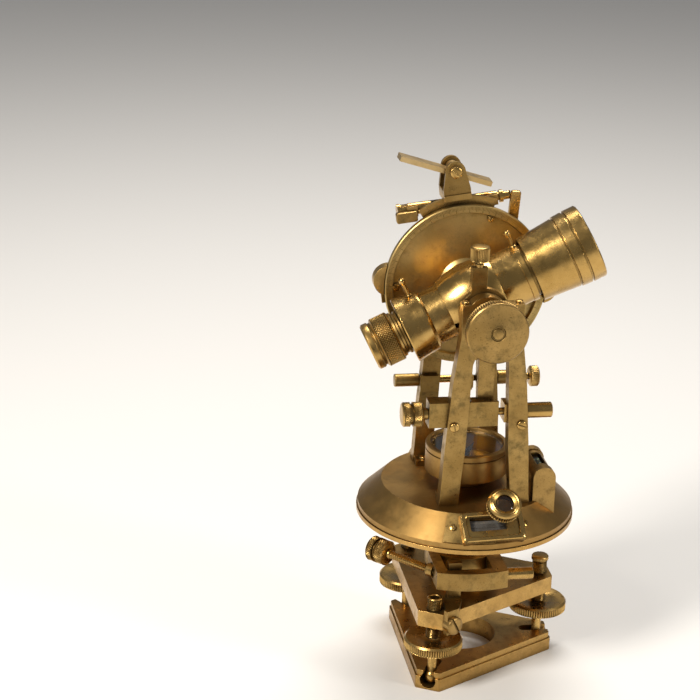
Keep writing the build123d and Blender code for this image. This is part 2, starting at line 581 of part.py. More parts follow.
CAP_SCREW_X = 12.3
with BuildPart() as standard_screws:
    for side in (-1, 1):
        shift = FRONT_SHIFT if side < 0 else 0.0
        for x in (-1, 1):
            with Locations((shift + x * CAP_SCREW_X, side * SCREW_Y, HEAD_TOP)):
                Cylinder(1.7, 1.2, align=(Align.CENTER, Align.CENTER, Align.MIN))
            with Locations((shift + x * 16.5, side * (STANDARD_IN - 2.8), FLAT_Z + 2.6)):
                Cylinder(2.0, 1.3, align=(Align.CENTER, Align.CENTER, Align.MIN))
            with Locations(Location((shift + x * 15.7, side * STANDARD_OUT, 129.6 if side < 0 else 122.5),
                                    (90 * side * -1, 0, 0))):
                Cylinder(2.1, 1.4, align=(Align.CENTER, Align.CENTER, Align.MIN))
finish(standard_screws, "standard_screws")

# ---------------------------------------------------------------- telescope clamp and its tangent motion
TONGUE_X = 4.3
TONGUE_SHIFT = 2.4
TONGUE_FOOT = 138.0
COLLAR_Y0, COLLAR_Y1 = -22.6, -19.4
POST_X = -3.0
POST_TOP = 203.5
THUMB_Z1 = 213.2

with BuildPart() as telescope_clamp:
    with BuildSketch(Plane(origin=(0, COLLAR_Y0, 0), x_dir=(1, 0, 0), z_dir=(0, 1, 0))):
        with Locations((0, -TRUNNION_Z)):
            Circle(11.5)
        with Locations((TONGUE_SHIFT, -(TRUNNION_Z + TONGUE_FOOT) / 2)):
            Rectangle(7.4, TRUNNION_Z - TONGUE_FOOT)
        with Locations((POST_X, -(TRUNNION_Z + POST_TOP) / 2)):
            Rectangle(7.2, POST_TOP - TRUNNION_Z)
        with Locations((0, -TRUNNION_Z)):
            Circle(TRUNNION_R + RUNNING, mode=Mode.SUBTRACT)
    extrude(amount=COLLAR_Y1 - COLLAR_Y0)
    block((-TONGUE_X, -25.2, 131.0), (TONGUE_X, COLLAR_Y0, 140.0))
    block((-TONGUE_X, COLLAR_Y0, 137.0), (TONGUE_X, COLLAR_Y1, 140.0))
    rod((POST_X, (COLLAR_Y0 + COLLAR_Y1) / 2, POST_TOP + 1), (0, 0, -1), 14, 1.1, mode=Mode.SUBTRACT)
finish(telescope_clamp, "telescope_clamp")

with BuildPart() as telescope_clamp_screw:
    turn(Plane(origin=(POST_X, (COLLAR_Y0 + COLLAR_Y1) / 2, 0), x_dir=(0, 0, 1), z_dir=(0, 1, 0)),
         [(191, 0), (191, 1.05), (POST_TOP + 0.4, 1.05), (POST_TOP + 0.4, 3.0), (204.6, 3.0),
          (204.6, 3.9), (205.2, 4.4), (THUMB_Z1 - 0.6, 4.4), (THUMB_Z1, 3.8), (THUMB_Z1, 0)])
finish(telescope_clamp_screw, "telescope_clamp_screw")

with BuildPart() as tangent_block:
    block((HOUSING_X0, HOUSING_Y0, HOUSING_Z0), (HOUSING_STEP, HOUSING_Y1, HOUSING_Z1))
    block((HOUSING_STEP, HOUSING_Y0, HOUSING_Z0), (HOUSING_X1, HOUSING_Y0 + 1.5, HOUSING_Z1))
    rod((HOUSING_X0 - 1, FRONT_SCREW_Y, FRONT_SCREW_Z), (1, 0, 0), 20, SCREW_R + RUNNING,
        mode=Mode.SUBTRACT)
finish(tangent_block, "tangent_block")

FRONT_KNOB_X = -27.0
with BuildPart() as front_tangent_screw:
    rod((-5.9, FRONT_SCREW_Y, FRONT_SCREW_Z), (-1, 0, 0), -FRONT_KNOB_X - 5.9, SCREW_R)
    rod((HOUSING_X0 - 0.3, FRONT_SCREW_Y, FRONT_SCREW_Z), (-1, 0, 0), 2.4, 2.7)
    two_part_knob((0, FRONT_SCREW_Y, FRONT_SCREW_Z), (-1, 0, 0), -FRONT_KNOB_X, 9.8, 5.7)
finish(front_tangent_screw, "front_tangent_screw")

FRONT_BARREL_X = 20.4
FRONT_BARREL_L = 13.0
with BuildPart() as front_spring_barrel:
    block((BARREL_FOOT_X0, HOUSING_Y0, FRONT_SCREW_Z - FOOT_HALF),
          (BARREL_FOOT_X1, HOUSING_Y1, FRONT_SCREW_Z + FOOT_HALF))
    rod((BARREL_FOOT_X0 - 1, FRONT_SCREW_Y, FRONT_SCREW_Z), (1, 0, 0), 14, 1.7 + RUNNING,
        mode=Mode.SUBTRACT)
    spring_barrel((FRONT_BARREL_X, FRONT_SCREW_Y, FRONT_SCREW_Z), (1, 0, 0), FRONT_BARREL_L, 3.6, 0.8)
finish(front_spring_barrel, "front_spring_barrel")

with BuildPart() as front_plunger:
    start = TONGUE_X + 0.2
    plunger((start, FRONT_SCREW_Y, FRONT_SCREW_Z), (1, 0, 0), 1.2, FRONT_BARREL_X + 2.6 - start, 2.7, 1.7)
finish(front_plunger, "front_plunger")

with BuildPart() as barrel_springs:
    spring_envelope((FRONT_BARREL_X + 5.2, FRONT_SCREW_Y, FRONT_SCREW_Z), (1, 0, 0), 5.7, 2.65, 1.8)
    spring_envelope((-28.9, SCREW_Y, CLIP_Z), (1, 0, 0), 5.0, 2.3, 1.6)
finish(barrel_springs, "barrel_springs")

# ---------------------------------------------------------------- index clip on the rear standard
CLIP_SADDLE_Y = 20.0
CLIP_FOOT_X0, CLIP_FOOT_X1 = -0.5, 6.5

with BuildPart() as clip_blocks:
    block((-19.4, CLIP_SADDLE_Y, CLIP_Z - 4), (-10.8, STANDARD_IN, CLIP_Z + 4))
    spring_barrel((-19.1, SCREW_Y, CLIP_Z), (-1, 0, 0), 12.0, 3.1, 0.75)
    rod((9.0, SCREW_Y, CLIP_Z), (1, 0, 0), 16.0, 2.5)
    rod((19.2, SCREW_Y, CLIP_Z), (1, 0, 0), 5.8, 3.4)
    rod((8.0, SCREW_Y, CLIP_Z), (1, 0, 0), 20.0, 1.6 + RUNNING, mode=Mode.SUBTRACT)
finish(clip_blocks, "clip_blocks")

with BuildPart() as clip_plunger:
    start = CLIP_FOOT_X0 - 0.2
    plunger((start, SCREW_Y, CLIP_Z), (-1, 0, 0), 1.0, 21.4 + start, 2.3, 1.8)
finish(clip_plunger, "clip_plunger")

with BuildPart() as clip_screw:
    turn(Plane(origin=(7.4, SCREW_Y, CLIP_Z), x_dir=(1, 0, 0), z_dir=(0, 0, 1)),
         [(0, 0), (0, 1.1), (0.5, 1.6), (27.4, 1.6), (27.4, 4.4), (28, 5.0), (31.6, 5.0), (32.2, 4.4),
          (32.2, 0)])
finish(clip_screw, "clip_screw")

# ---------------------------------------------------------------- telescope
DRAW_R = 12.6
TUBE_R = 13.8
HUB_S0, HUB_S1 = -14.0, 12.5
HUB_BULGE = 16.6
RACK_Y0, RACK_Y1 = -14.9, -12.2
RACK_PITCH_N = -3.0
MODULE = 0.6
TOOTH_PITCH = pi * MODULE
PINION_TEETH = 10
PINION_Y0, PINION_Y1 = -14.9, -12.9
KNOB_SHAFT_R = 2.0


def tube(points, mode=Mode.ADD):
    """A turned piece on the telescope's axis, as (station, radius) pairs."""
    turn(ALONG, points, mode=mode)


def along_block(s0, s1, y0, y1, n0, n1, mode=Mode.ADD):
    """A block square to the telescope: stations, depths from front to back, heights off the axis."""
    plane = Plane(origin=TRUNNION + Vector(0, y1, 0), x_dir=SIGHT_LINE, z_dir=(0, -1, 0))
    with BuildSketch(plane) as section:
        with Locations(((s0 + s1) / 2, (n0 + n1) / 2)):
            Rectangle(s1 - s0, n1 - n0)
    extrude(section.sketch, amount=y1 - y0, mode=mode)


with BuildPart() as telescope_hub:
    with BuildSketch(ALONG):
        with BuildLine():
            Polyline((HUB_S1, 0), (HUB_S0, 0), (HUB_S0, 13.6))
            ThreePointArc((HUB_S0, 13.6), (-0.7, HUB_BULGE), (HUB_S1, 14.2))
            Line((HUB_S1, 14.2), (HUB_S1, 0))
        make_face()
    revolve(axis=Axis(TRUNNION, SIGHT_LINE))
    for side in (-1, 1):
        flange = 18.0
        turn(Plane(origin=TRUNNION, x_dir=(0, side, 0), z_dir=(1, 0, 0)),
             [(13.2, 0), (13.2, 9.5), (16.4, 8.6), (flange, 7.4), (flange, TRUNNION_R),
              (STANDARD_OUT + 1.4, TRUNNION_R), (STANDARD_OUT + 1.4, 0)])
    rod(TRUNNION + SIGHT_LINE * (HUB_S0 - 1), SIGHT_LINE, HUB_S1 - HUB_S0 + 2, DRAW_R + RUNNING,
        mode=Mode.SUBTRACT)
    along_block(HUB_S0 - 0.1, HUB_S1 + 0.1, -15.3, -10.0, -5.4, -2.3, mode=Mode.SUBTRACT)
    rod(TRUNNION + Vector(0, -15.6, 0), (0, 1, 0), 5.6, 4.1, mode=Mode.SUBTRACT)
    rod(TRUNNION + Vector(0, -40, 0), (0, 1, 0), 28, KNOB_SHAFT_R + RUNNING, mode=Mode.SUBTRACT)
finish(telescope_hub, "telescope_hub")

with BuildPart() as telescope_tube:
    tube([(HUB_S1, DRAW_R + RUNNING), (HUB_S1, TUBE_R), (24.2, TUBE_R), (24.4, TUBE_R + 0.25),
          (27.0, TUBE_R + 0.25), (27.0, DRAW_R + RUNNING)])
finish(telescope_tube, "telescope_tube")

EYE_TUBE_IN = 11.0
EYE_SPIGOT_R = 9.0
with BuildPart() as eyepiece_tube:
    tube([(HUB_S0, EYE_TUBE_IN), (HUB_S0, 13.0), (-22.8, 13.0), (-23.5, 14.3), (-24.3, 14.6),
          (-29.0, 15.0), (-35.2, 15.8), (-35.7, 15.4), (-35.7, EYE_SPIGOT_R + RUNNING),
          (-33.4, EYE_SPIGOT_R + RUNNING), (-33.4, EYE_TUBE_IN)])
finish(eyepiece_tube, "eyepiece_tube")

with BuildPart() as eyepiece:
    tube([(-30.0, 6.8), (-30.0, EYE_SPIGOT_R), (-35.9, EYE_SPIGOT_R), (-35.9, 10.6), (-37.2, 10.6),
          (-37.6, 9.9), (-38.6, 9.9), (-39.0, 10.8), (-40.0, 10.8), (-40.3, 11.5), (-40.6, 12.0),
          (-48.4, 12.0), (-48.8, 11.3), (-49.2, 10.5), (-49.8, 10.5), (-50.2, 11.2), (-53.0, 11.2),
          (-53.7, 10.4), (-53.7, 8.2), (-50.6, 4.6), (-49.2, 4.6), (-49.2, 6.8)])
finish(eyepiece, "eyepiece")

with BuildPart() as eyepiece_lens:
    tube([(-49.15, 0), (-49.15, 4.5), (-48.6, 6.7), (-46.2, 6.7), (-45.6, 4.5), (-45.2, 0)])
finish(eyepiece_lens, "eyepiece_lens")

with BuildPart() as reticle:
    tube([(-21.5, 0), (-21.5, EYE_TUBE_IN - 0.05), (-19.5, EYE_TUBE_IN - 0.05), (-19.5, 7.0),
          (-20.3, 7.0), (-20.3, 0)])
finish(reticle, "reticle")

RACK_S0, RACK_S1 = -10.0, 4.0
with BuildPart() as draw_tube:
    tube([(-10.0, DRAW_R - 1.0), (-10.0, DRAW_R), (44.0, DRAW_R), (44.0, DRAW_R - 1.0)])
    along_block(RACK_S0, RACK_S1, RACK_Y0, -11.2, -5.0, RACK_PITCH_N - 0.75)
    count = int((RACK_S1 - RACK_S0) / TOOTH_PITCH)
    for tooth in range(-count, count):
        middle = (tooth + 0.5) * TOOTH_PITCH
        if RACK_S0 + 0.5 < middle < RACK_S1 - 0.5:
            along_block(middle - 0.3, middle + 0.3, RACK_Y0, -12.5, -4.0, RACK_PITCH_N + 0.35)
finish(draw_tube, "draw_tube")

SHADE_S0 = 28.5
with BuildPart() as sunshade:
    tube([(SHADE_S0, 14.4), (SHADE_S0, 15.6), (46.4, 17.0), (46.6, 16.6), (47.2, 16.6), (47.4, 17.5),
          (52.0, 17.7), (52.2, 17.0), (53.0, 17.0), (53.2, 17.8), (58.9, 17.8), (59.4, 17.3),
          (59.4, 15.6), (50.4, 15.0), (50.4, 13.5), (45.2, 13.5), (45.2, DRAW_R - 1.4),
          (44.0, DRAW_R - 1.4), (44.0, DRAW_R), (40.0, DRAW_R), (40.0, 14.4)])
finish(sunshade, "sunshade")

with BuildPart() as objective_lens:
    tube([(45.4, 0), (45.9, 9.0), (46.6, 13.4), (49.6, 13.4), (50.6, 9.0), (51.1, 0)])
finish(objective_lens, "objective_lens")

with BuildPart() as sight_pins:
    up = Vector(-SIGHT_LINE.Z, 0, SIGHT_LINE.X)
    for station, root, tall in ((-27.0, 14.6, 9.3), (25.7, TUBE_R, 8.6)):
        base = TRUNNION + SIGHT_LINE * station
        turn(Plane(origin=base, x_dir=up, z_dir=(0, 1, 0)),
             [(root, 0), (root, 1.15), (root + tall - 0.6, 1.15), (root + tall, 0.5), (root + tall, 0)])
finish(sight_pins, "sight_pins")

RIM_Y0 = 17.4
DISH_Y0, DISH_Y1 = 19.4, 20.4
with BuildPart() as vertical_circle:
    turn(ACROSS, [(DISH_Y0, 0), (DISH_Y0, CIRCLE_R - 4.2), (RIM_Y0, CIRCLE_R - 3.6), (RIM_Y0, CIRCLE_R - 0.4),
                  (RIM_Y0 + 0.4, CIRCLE_R), (DISH_Y1, CIRCLE_R), (DISH_Y1, 0)])
    turn(ACROSS, [(18.0, 0), (18.0, 11.0), (DISH_Y0, 12.5), (DISH_Y0, 0)])
    rod(TRUNNION + Vector(0, 10, 0), (0, 1, 0), 20, TRUNNION_R, mode=Mode.SUBTRACT)
finish(vertical_circle, "vertical_circle")

FOCUS_FACE, FOCUS_BACK = -50.9, -45.0
FOCUS_R = 14.1
with BuildPart() as focus_knob:
    turn(ACROSS, [(FOCUS_FACE - 1.2, 0), (FOCUS_FACE - 1.2, 3.2), (FOCUS_FACE, 3.6), (FOCUS_FACE, 11.6),
                  (FOCUS_FACE + 0.5, 12.0), (FOCUS_FACE, 12.4), (FOCUS_FACE, FOCUS_R - 0.6),
                  (FOCUS_FACE + 0.6, FOCUS_R), (FOCUS_BACK - 0.8, FOCUS_R), (FOCUS_BACK, FOCUS_R - 0.8),
                  (FOCUS_BACK, 7.5), (-42.5, 6.6), (-STANDARD_OUT - 1.9, 6.6),
                  (-STANDARD_OUT - 1.9, KNOB_SHAFT_R), (PINION_Y1, KNOB_SHAFT_R), (PINION_Y1, 0)])
    with BuildSketch(Plane(origin=TRUNNION + Vector(0, PINION_Y1, 0), x_dir=SIGHT_LINE, z_dir=(0, -1, 0))):
        Circle(2.35)
        with PolarLocations(2.6, PINION_TEETH, start_angle=-90):
            Rectangle(1.3, 0.62)
    extrude(amount=PINION_Y1 - PINION_Y0)
finish(focus_knob, "focus_knob")

# ---------------------------------------------------------------- index frame, altitude level and mirror
INDEX_Y0, INDEX_Y1 = 20.9, 22.6
FRAME_FACE = Plane(origin=(0, INDEX_Y0, TRUNNION_Z), x_dir=(cos(radians(INDEX_TILT)), 0,
                                                            sin(radians(INDEX_TILT))), z_dir=(0, -1, 0))


def index_plane(depth):
    """The index frame's own plane, set back to a depth along Y."""
    return Plane(origin=(0, depth, TRUNNION_Z), x_dir=FRAME_FACE.x_dir, z_dir=(0, -1, 0))


def index_block(x0, x1, z0, z1, y0, y1, mode=Mode.ADD):
    """A block square to the index frame."""
    with BuildSketch(index_plane(y1)) as section:
        with Locations(((x0 + x1) / 2, (z0 + z1) / 2)):
            Rectangle(x1 - x0, z1 - z0)
    extrude(section.sketch, amount=y1 - y0, mode=mode)


ARC_R0, ARC_R1 = 35.0, 42.5
ARC_HALF = 26.0
TAB_AT = (-36.0, 7.6)      # round ends of the frame's arms, beyond the circle's rim
TAB_R = 7.4
with BuildPart() as index_frame:
    with BuildSketch(index_plane(INDEX_Y1)):
        Circle(11.0)
        Rectangle(80.0, 8.0)
        with Locations((0, 20)):
            Rectangle(8.0, 38.0)
        with BuildLine():
            outer = CenterArc((0, 0), ARC_R1, 90 - ARC_HALF, 2 * ARC_HALF)
            inner = CenterArc((0, 0), ARC_R0, 90 - ARC_HALF, 2 * ARC_HALF)
            Line(outer @ 0, inner @ 0)
            Line(outer @ 1, inner @ 1)
        make_face()
        Circle(TRUNNION_R + RUNNING, mode=Mode.SUBTRACT)
    extrude(amount=INDEX_Y1 - INDEX_Y0)
    arm_mid = (CLIP_FOOT_X0 + CLIP_FOOT_X1) / 2
    slab(Plane(origin=(0, INDEX_Y1, 0), x_dir=(1, 0, 0), z_dir=(0, -1, 0)),
         [(-5, TRUNNION_Z - 8), (5, TRUNNION_Z - 8), (arm_mid + 3, CLIP_Z - 4), (arm_mid - 3, CLIP_Z - 4)],
         INDEX_Y1 - INDEX_Y0)
    block((CLIP_FOOT_X0, INDEX_Y0, CLIP_Z - 3), (CLIP_FOOT_X1, SCREW_Y, CLIP_Z + 3))
    rod((CLIP_FOOT_X0, SCREW_Y, CLIP_Z), (1, 0, 0), CLIP_FOOT_X1 - CLIP_FOOT_X0, 3.5)
    for side in (-1, 1):
        with BuildSketch(index_plane(INDEX_Y1)) as tab:
            with Locations((side * TAB_AT[0], side * TAB_AT[1])):
                Circle(TAB_R)
        extrude(tab.sketch, amount=INDEX_Y1 - RIM_Y0 - 0.2)
    turn(ACROSS, [(RIM_Y0 - 1, 0), (RIM_Y0 - 1, CIRCLE_R + 0.4), (INDEX_Y0 - 0.1, CIRCLE_R + 0.4),
                  (INDEX_Y0 - 0.1, 0)], mode=Mode.SUBTRACT)
    index_block(-6.4, 6.4, 41.2, 44.0, 18.0, 31.0)
    for x in (-21.0, 17.0):
        index_block(x - 2.4, x + 2.4, 35.0, 40.0, INDEX_Y1, 23.5)
finish(index_frame, "index_frame")

ALT_LEVEL_N = 37.8
ALT_LEVEL_Y = 26.4
ALT_LEVEL_R = 2.85
with BuildPart() as altitude_level_case:
    level_axis = index_plane(ALT_LEVEL_Y)
    start = level_axis.from_local_coords((-26.5, ALT_LEVEL_N, 0))
    line = level_axis.x_dir
    rod(start, line, 46.0, ALT_LEVEL_R)
    rod(start + line * 46.0, line, 6.8, 2.0)
    rod(start + line * 47.2, line, 1.6, 3.0)
    rod(start + line * -1.4, line, 1.4, 3.2)
    rod(start + line * 1.0, line, 44.0, 2.1, mode=Mode.SUBTRACT)
    index_block(-12, 6, ALT_LEVEL_N, ALT_LEVEL_N + 4, ALT_LEVEL_Y - 1.6, ALT_LEVEL_Y + 1.6,
                mode=Mode.SUBTRACT)
    index_block(25.4, 29.4, 25.5, 42.5, ALT_LEVEL_Y - 4.8, ALT_LEVEL_Y - 2.0)
    index_block(25.4, 29.4, ALT_LEVEL_N - 3, ALT_LEVEL_N + 4.7, ALT_LEVEL_Y - 2.0, ALT_LEVEL_Y + 0.4)
    index_block(-26.0, -22.6, ALT_LEVEL_N + 2.2, ALT_LEVEL_N + 6.4, ALT_LEVEL_Y - 1.6, ALT_LEVEL_Y + 1.6)
finish(altitude_level_case, "altitude_level_case")

with BuildPart() as altitude_level_vial:
    rod(start + line * 1.1, line, 43.8, 2.05)
finish(altitude_level_vial, "altitude_level_vial")

EAR_R = 4.6
PIVOT_N = 55.0
with BuildPart() as mirror_bracket:
    index_block(-6.4, 6.4, 44.0, 46.2, 18.6, 31.0)
    for y0, y1 in ((18.6, 20.2), (29.0, 31.0)):
        slab(index_plane(y1), [(-6.4, 46.2), (6.4, 46.2), (EAR_R, PIVOT_N + 0.5), (-EAR_R, PIVOT_N + 0.5)],
             y1 - y0)
        with BuildSketch(index_plane(y1)) as ear:
            with Locations((0, PIVOT_N)):
                Circle(EAR_R + 0.1)
        extrude(ear.sketch, amount=y1 - y0)
    pivot = index_plane(16.0).from_local_coords((0, PIVOT_N, 0))
    rod(pivot, (0, 1, 0), 16, 1.5 + RUNNING, mode=Mode.SUBTRACT)
finish(mirror_bracket, "mirror_bracket")

MIRROR_TILT = -16.7
MIRROR_OFF = -1.6
with BuildPart() as mirror:
    rod(pivot + Vector(0, 1.3, 0), (0, 1, 0), 1.2, 2.7)
    rod(pivot + Vector(0, 2.4, 0), (0, 1, 0), 12.6, 1.5)
    tilt = Plane(origin=pivot, x_dir=(cos(radians(MIRROR_TILT)), 0, sin(radians(MIRROR_TILT))),
                 z_dir=(0, -1, 0))
    with BuildSketch(tilt.offset(-12.4)):
        with Locations((-3.5, MIRROR_OFF)):
            Rectangle(45.3, 2.4)
        Circle(3.0)
    extrude(amount=7.6)
finish(mirror, "mirror")
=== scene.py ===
"""Looks of the brass transit theodolite. Metres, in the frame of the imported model: +Z up the
vertical axis, +Y along the trunnion axis away from the focusing knob, objective towards +X."""

from math import cos, pi, radians, sin, sqrt

import bmesh
import bpy
from mathutils import Matrix, Vector


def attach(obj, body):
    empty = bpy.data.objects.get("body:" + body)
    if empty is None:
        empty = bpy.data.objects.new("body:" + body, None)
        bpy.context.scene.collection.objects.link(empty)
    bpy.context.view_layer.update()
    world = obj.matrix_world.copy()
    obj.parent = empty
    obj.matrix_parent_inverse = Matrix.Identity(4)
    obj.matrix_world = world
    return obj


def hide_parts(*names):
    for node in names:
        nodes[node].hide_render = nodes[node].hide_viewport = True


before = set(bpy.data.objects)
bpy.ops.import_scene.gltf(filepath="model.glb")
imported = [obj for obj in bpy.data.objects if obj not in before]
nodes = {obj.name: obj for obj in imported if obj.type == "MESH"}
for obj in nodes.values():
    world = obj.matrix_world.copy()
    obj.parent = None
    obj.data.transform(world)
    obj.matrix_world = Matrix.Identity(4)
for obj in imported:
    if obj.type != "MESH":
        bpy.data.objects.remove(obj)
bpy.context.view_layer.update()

scene = bpy.context.scene
MM = 0.001

TRUNNION = Vector((0, 0, 182.0)) * MM
TILT = radians(26.0)
SIGHT = Vector((cos(TILT), 0, sin(TILT)))
UP_N = Vector((-sin(TILT), 0, cos(TILT)))
FOOT_R = 39.0
FOOT_ANGLES = {"a": -120.0, "b": 0.0, "c": 120.0}


# ------------------------------------------------------------------ node helpers
class Tree:
    """A short way to write a material's nodes."""

    def __init__(self, name):
        self.material = bpy.data.materials.new(name)
        self.material.use_nodes = True
        self.tree = self.material.node_tree
        self.shader = self.tree.nodes["Principled BSDF"]
        self.place = self.node("ShaderNodeTexCoord").outputs["Object"]

    def node(self, kind, **settings):
        made = self.tree.nodes.new(kind)
        for key, value in settings.items():
            setattr(made, key, value)
        return made

    def link(self, source, target):
        self.tree.links.new(source, target)

    def put(self, target, value):
        if isinstance(value, bpy.types.NodeSocket):
            self.link(value, target)
        else:
            target.default_value = value

    def math(self, operation, a, b=0.0, c=0.0, clamp=False):
        made = self.node("ShaderNodeMath", operation=operation, use_clamp=clamp)
        for target, value in zip(made.inputs, (a, b, c)):
            self.put(target, value)
        return made.outputs[0]

    def noise(self, scale, detail=4.0, rough=0.55, stretch=None, vector=None):
        made = self.node("ShaderNodeTexNoise")
        made.inputs["Scale"].default_value = scale
        made.inputs["Detail"].default_value = detail
        made.inputs["Roughness"].default_value = rough
        place = vector or self.place
        if stretch:
            mapping = self.node("ShaderNodeMapping")
            mapping.inputs["Scale"].default_value = stretch
            self.link(place, mapping.inputs["Vector"])
            place = mapping.outputs[0]
        self.link(place, made.inputs["Vector"])
        return made.outputs["Fac"]

    def spots(self, scale):
        made = self.node("ShaderNodeTexVoronoi")
        made.inputs["Scale"].default_value = scale
        self.link(self.place, made.inputs["Vector"])
        return made.outputs["Distance"]

    def span(self, value, low, high, out_low=0.0, out_high=1.0):
        made = self.node("ShaderNodeMapRange")
        for target, number in zip(made.inputs, (value, low, high, out_low, out_high)):
            self.put(target, number)
        return made.outputs[0]

    def mix(self, factor, a, b, blend="MIX"):
        made = self.node("ShaderNodeMix", data_type="RGBA", blend_type=blend)
        self.put(made.inputs[0], factor)
        for target, value in ((made.inputs[6], a), (made.inputs[7], b)):
            if isinstance(value, bpy.types.NodeSocket):
                self.link(value, target)
            else:
                target.default_value = (*value, 1.0)
        return made.outputs[2]

    def bump(self, height, depth, strength=1.0, below=None):
        made = self.node("ShaderNodeBump")
        made.inputs["Strength"].default_value = strength
        made.inputs["Distance"].default_value = depth
        self.link(height, made.inputs["Height"])
        if below is not None:
            self.link(below, made.inputs["Normal"])
        return made.outputs[0]

    def parts(self, origin=(0, 0, 0)):
        shifted = self.node("ShaderNodeVectorMath", operation="SUBTRACT")
        self.link(self.place, shifted.inputs[0])
        shifted.inputs[1].default_value = origin
        split = self.node("ShaderNodeSeparateXYZ")
        self.link(shifted.outputs[0], split.inputs[0])
        return split.outputs[0], split.outputs[1], split.outputs[2]


def ring_lines(t, a, b, count, width, inner, outer, every=1):
    """1 on radial graduation lines between two radii, from two coordinates about an axis."""
    angle = t.math("ARCTAN2", a, b)
    turn = t.math("FRACT", t.math("ADD", t.math("MULTIPLY", angle, count / (2 * pi)), count + 0.5))
    radius = t.math("SQRT", t.math("ADD", t.math("MULTIPLY", a, a), t.math("MULTIPLY", b, b)))
    off = t.math("ABSOLUTE", t.math("SUBTRACT", turn, 0.5))
    across = t.math("MULTIPLY", off, t.math("MULTIPLY", radius, 2 * pi / count))
    line = t.math("LESS_THAN", across, width / 2)
    inside = t.math("MULTIPLY", t.math("GREATER_THAN", radius, inner), t.math("LESS_THAN", radius, outer))
    return t.math("MULTIPLY", line, inside)


WARM = (0.93, 0.79, 0.62)


def brass(name, dark, mid, light, rough=0.3, spread=0.12, patina=0.5, pits=0.3, hollow_shade=0.7,
          wear=0.5, brushed=None, marks=None, rounding=0.00025, groove_shade=0.0):
    """Aged brass: mottled colour, dark speckles, painted shade darkening the corners and knurl grooves, and
    polish on the edges.
    """
    t = Tree(name)
    mid, light = (tuple(c * k for c, k in zip(colour, WARM)) for colour in (mid, light))
    cloud = t.noise(46, 6, 0.6)
    blotch = t.noise(170, 8, 0.68)
    fine = t.noise(1500, 5, 0.7)
    colour = t.mix(t.span(cloud, 0.32, 0.68), mid, light)
    tarnish = t.math("MULTIPLY", t.span(t.math("ADD", t.math("MULTIPLY", blotch, 0.65),
                                               t.math("MULTIPLY", cloud, 0.35)), 0.5, 0.68), patina)
    colour = t.mix(tarnish, colour, dark)
    speck = t.math("MULTIPLY", t.span(fine, 0.56, 0.72), pits)
    colour = t.mix(speck, colour, tuple(0.45 * c for c in dark))
    rounded = None
    if rounding:
        bevel = t.node("ShaderNodeBevel", samples=4)
        bevel.inputs["Radius"].default_value = rounding
        rounded = bevel.outputs[0]
        shape = t.node("ShaderNodeNewGeometry")
        facing = t.node("ShaderNodeVectorMath", operation="DOT_PRODUCT")
        t.link(rounded, facing.inputs[0])
        t.link(shape.outputs["Normal"], facing.inputs[1])
        edge = t.math("MULTIPLY", t.span(facing.outputs["Value"], 0.995, 0.86), wear)
        edge = t.math("MULTIPLY", edge, t.span(blotch, 0.3, 0.6, 0.35, 1.0))
        colour = t.mix(edge, colour, tuple(min(1.0, 1.18 * c) for c in light))
    # Painted shade: ambient occlusion over 4 mm darkens corners and recesses towards a deep brown, and
    # roughens them a little.
    hollow = t.node("ShaderNodeAmbientOcclusion", samples=6)
    hollow.inputs["Distance"].default_value = 0.004
    hollow_shade_mask = t.math("MULTIPLY", t.span(hollow.outputs["AO"], 0.85, 0.3), hollow_shade)
    colour = t.mix(hollow_shade_mask, colour, tuple(0.32 * c for c in dark))
    # Painted shade: ambient occlusion over 0.9 mm darkens the grooves of knurls and threads.
    if groove_shade:
        groove = t.node("ShaderNodeAmbientOcclusion", samples=8)
        groove.inputs["Distance"].default_value = 0.0009
        colour = t.mix(t.math("MULTIPLY", t.span(groove.outputs["AO"], 0.92, 0.45), groove_shade), colour,
                       tuple(0.3 * c for c in dark))
    if marks:
        colour = t.mix(marks(t), colour, (0.035, 0.025, 0.015))
    t.link(colour, t.shader.inputs["Base Color"])
    t.shader.inputs["Metallic"].default_value = 1.0
    roughness = t.math("ADD", t.span(blotch, 0.3, 0.7, rough - spread / 2, rough + spread),
                       t.math("MULTIPLY", t.math("ADD", tarnish, hollow_shade_mask), 0.16))
    t.link(t.math("MINIMUM", roughness, 0.85), t.shader.inputs["Roughness"])
    height = t.math("ADD", t.math("MULTIPLY", fine, 0.6), blotch)
    normal = t.bump(height, 0.00004, 0.3, rounded)
    if brushed:
        normal = t.bump(brushed(t), 0.00003, 0.5, normal)
    t.link(normal, t.shader.inputs["Normal"])
    return t.material


def lathe_marks(origin, first, second, scale=5200.0, drift=9.0):
    """Fine turning marks round an axis through origin, from the two coordinates across it."""
    def made(t):
        part = t.parts(origin)
        a, b = part[first], part[second]
        radius = t.math("SQRT", t.math("ADD", t.math("MULTIPLY", a, a), t.math("MULTIPLY", b, b)))
        packed = t.node("ShaderNodeCombineXYZ")
        t.link(t.math("MULTIPLY", radius, scale), packed.inputs[0])
        t.link(t.math("MULTIPLY", a, drift), packed.inputs[1])
        t.link(t.math("MULTIPLY", b, drift), packed.inputs[2])
        return t.noise(1.0, 3, 0.6, vector=packed.outputs[0])
    return made


def tube_marks(t):
    """Turning marks along the telescope: bands square to the sight line."""
    x, y, z = t.parts(tuple(TRUNNION))
    along = t.math("ADD", t.math("MULTIPLY", x, cos(TILT)), t.math("MULTIPLY", z, sin(TILT)))
    packed = t.node("ShaderNodeCombineXYZ")
    t.link(t.math("MULTIPLY", along, 4200), packed.inputs[0])
    t.link(t.math("MULTIPLY", y, 40), packed.inputs[1])
    return t.noise(1.0, 3, 0.6, vector=packed.outputs[0])


def file_marks(stretch):
    """Straight file or brush marks, long where stretch is small."""
    def made(t):
        return t.noise(1.0, 4, 0.6, stretch=stretch)
    return made


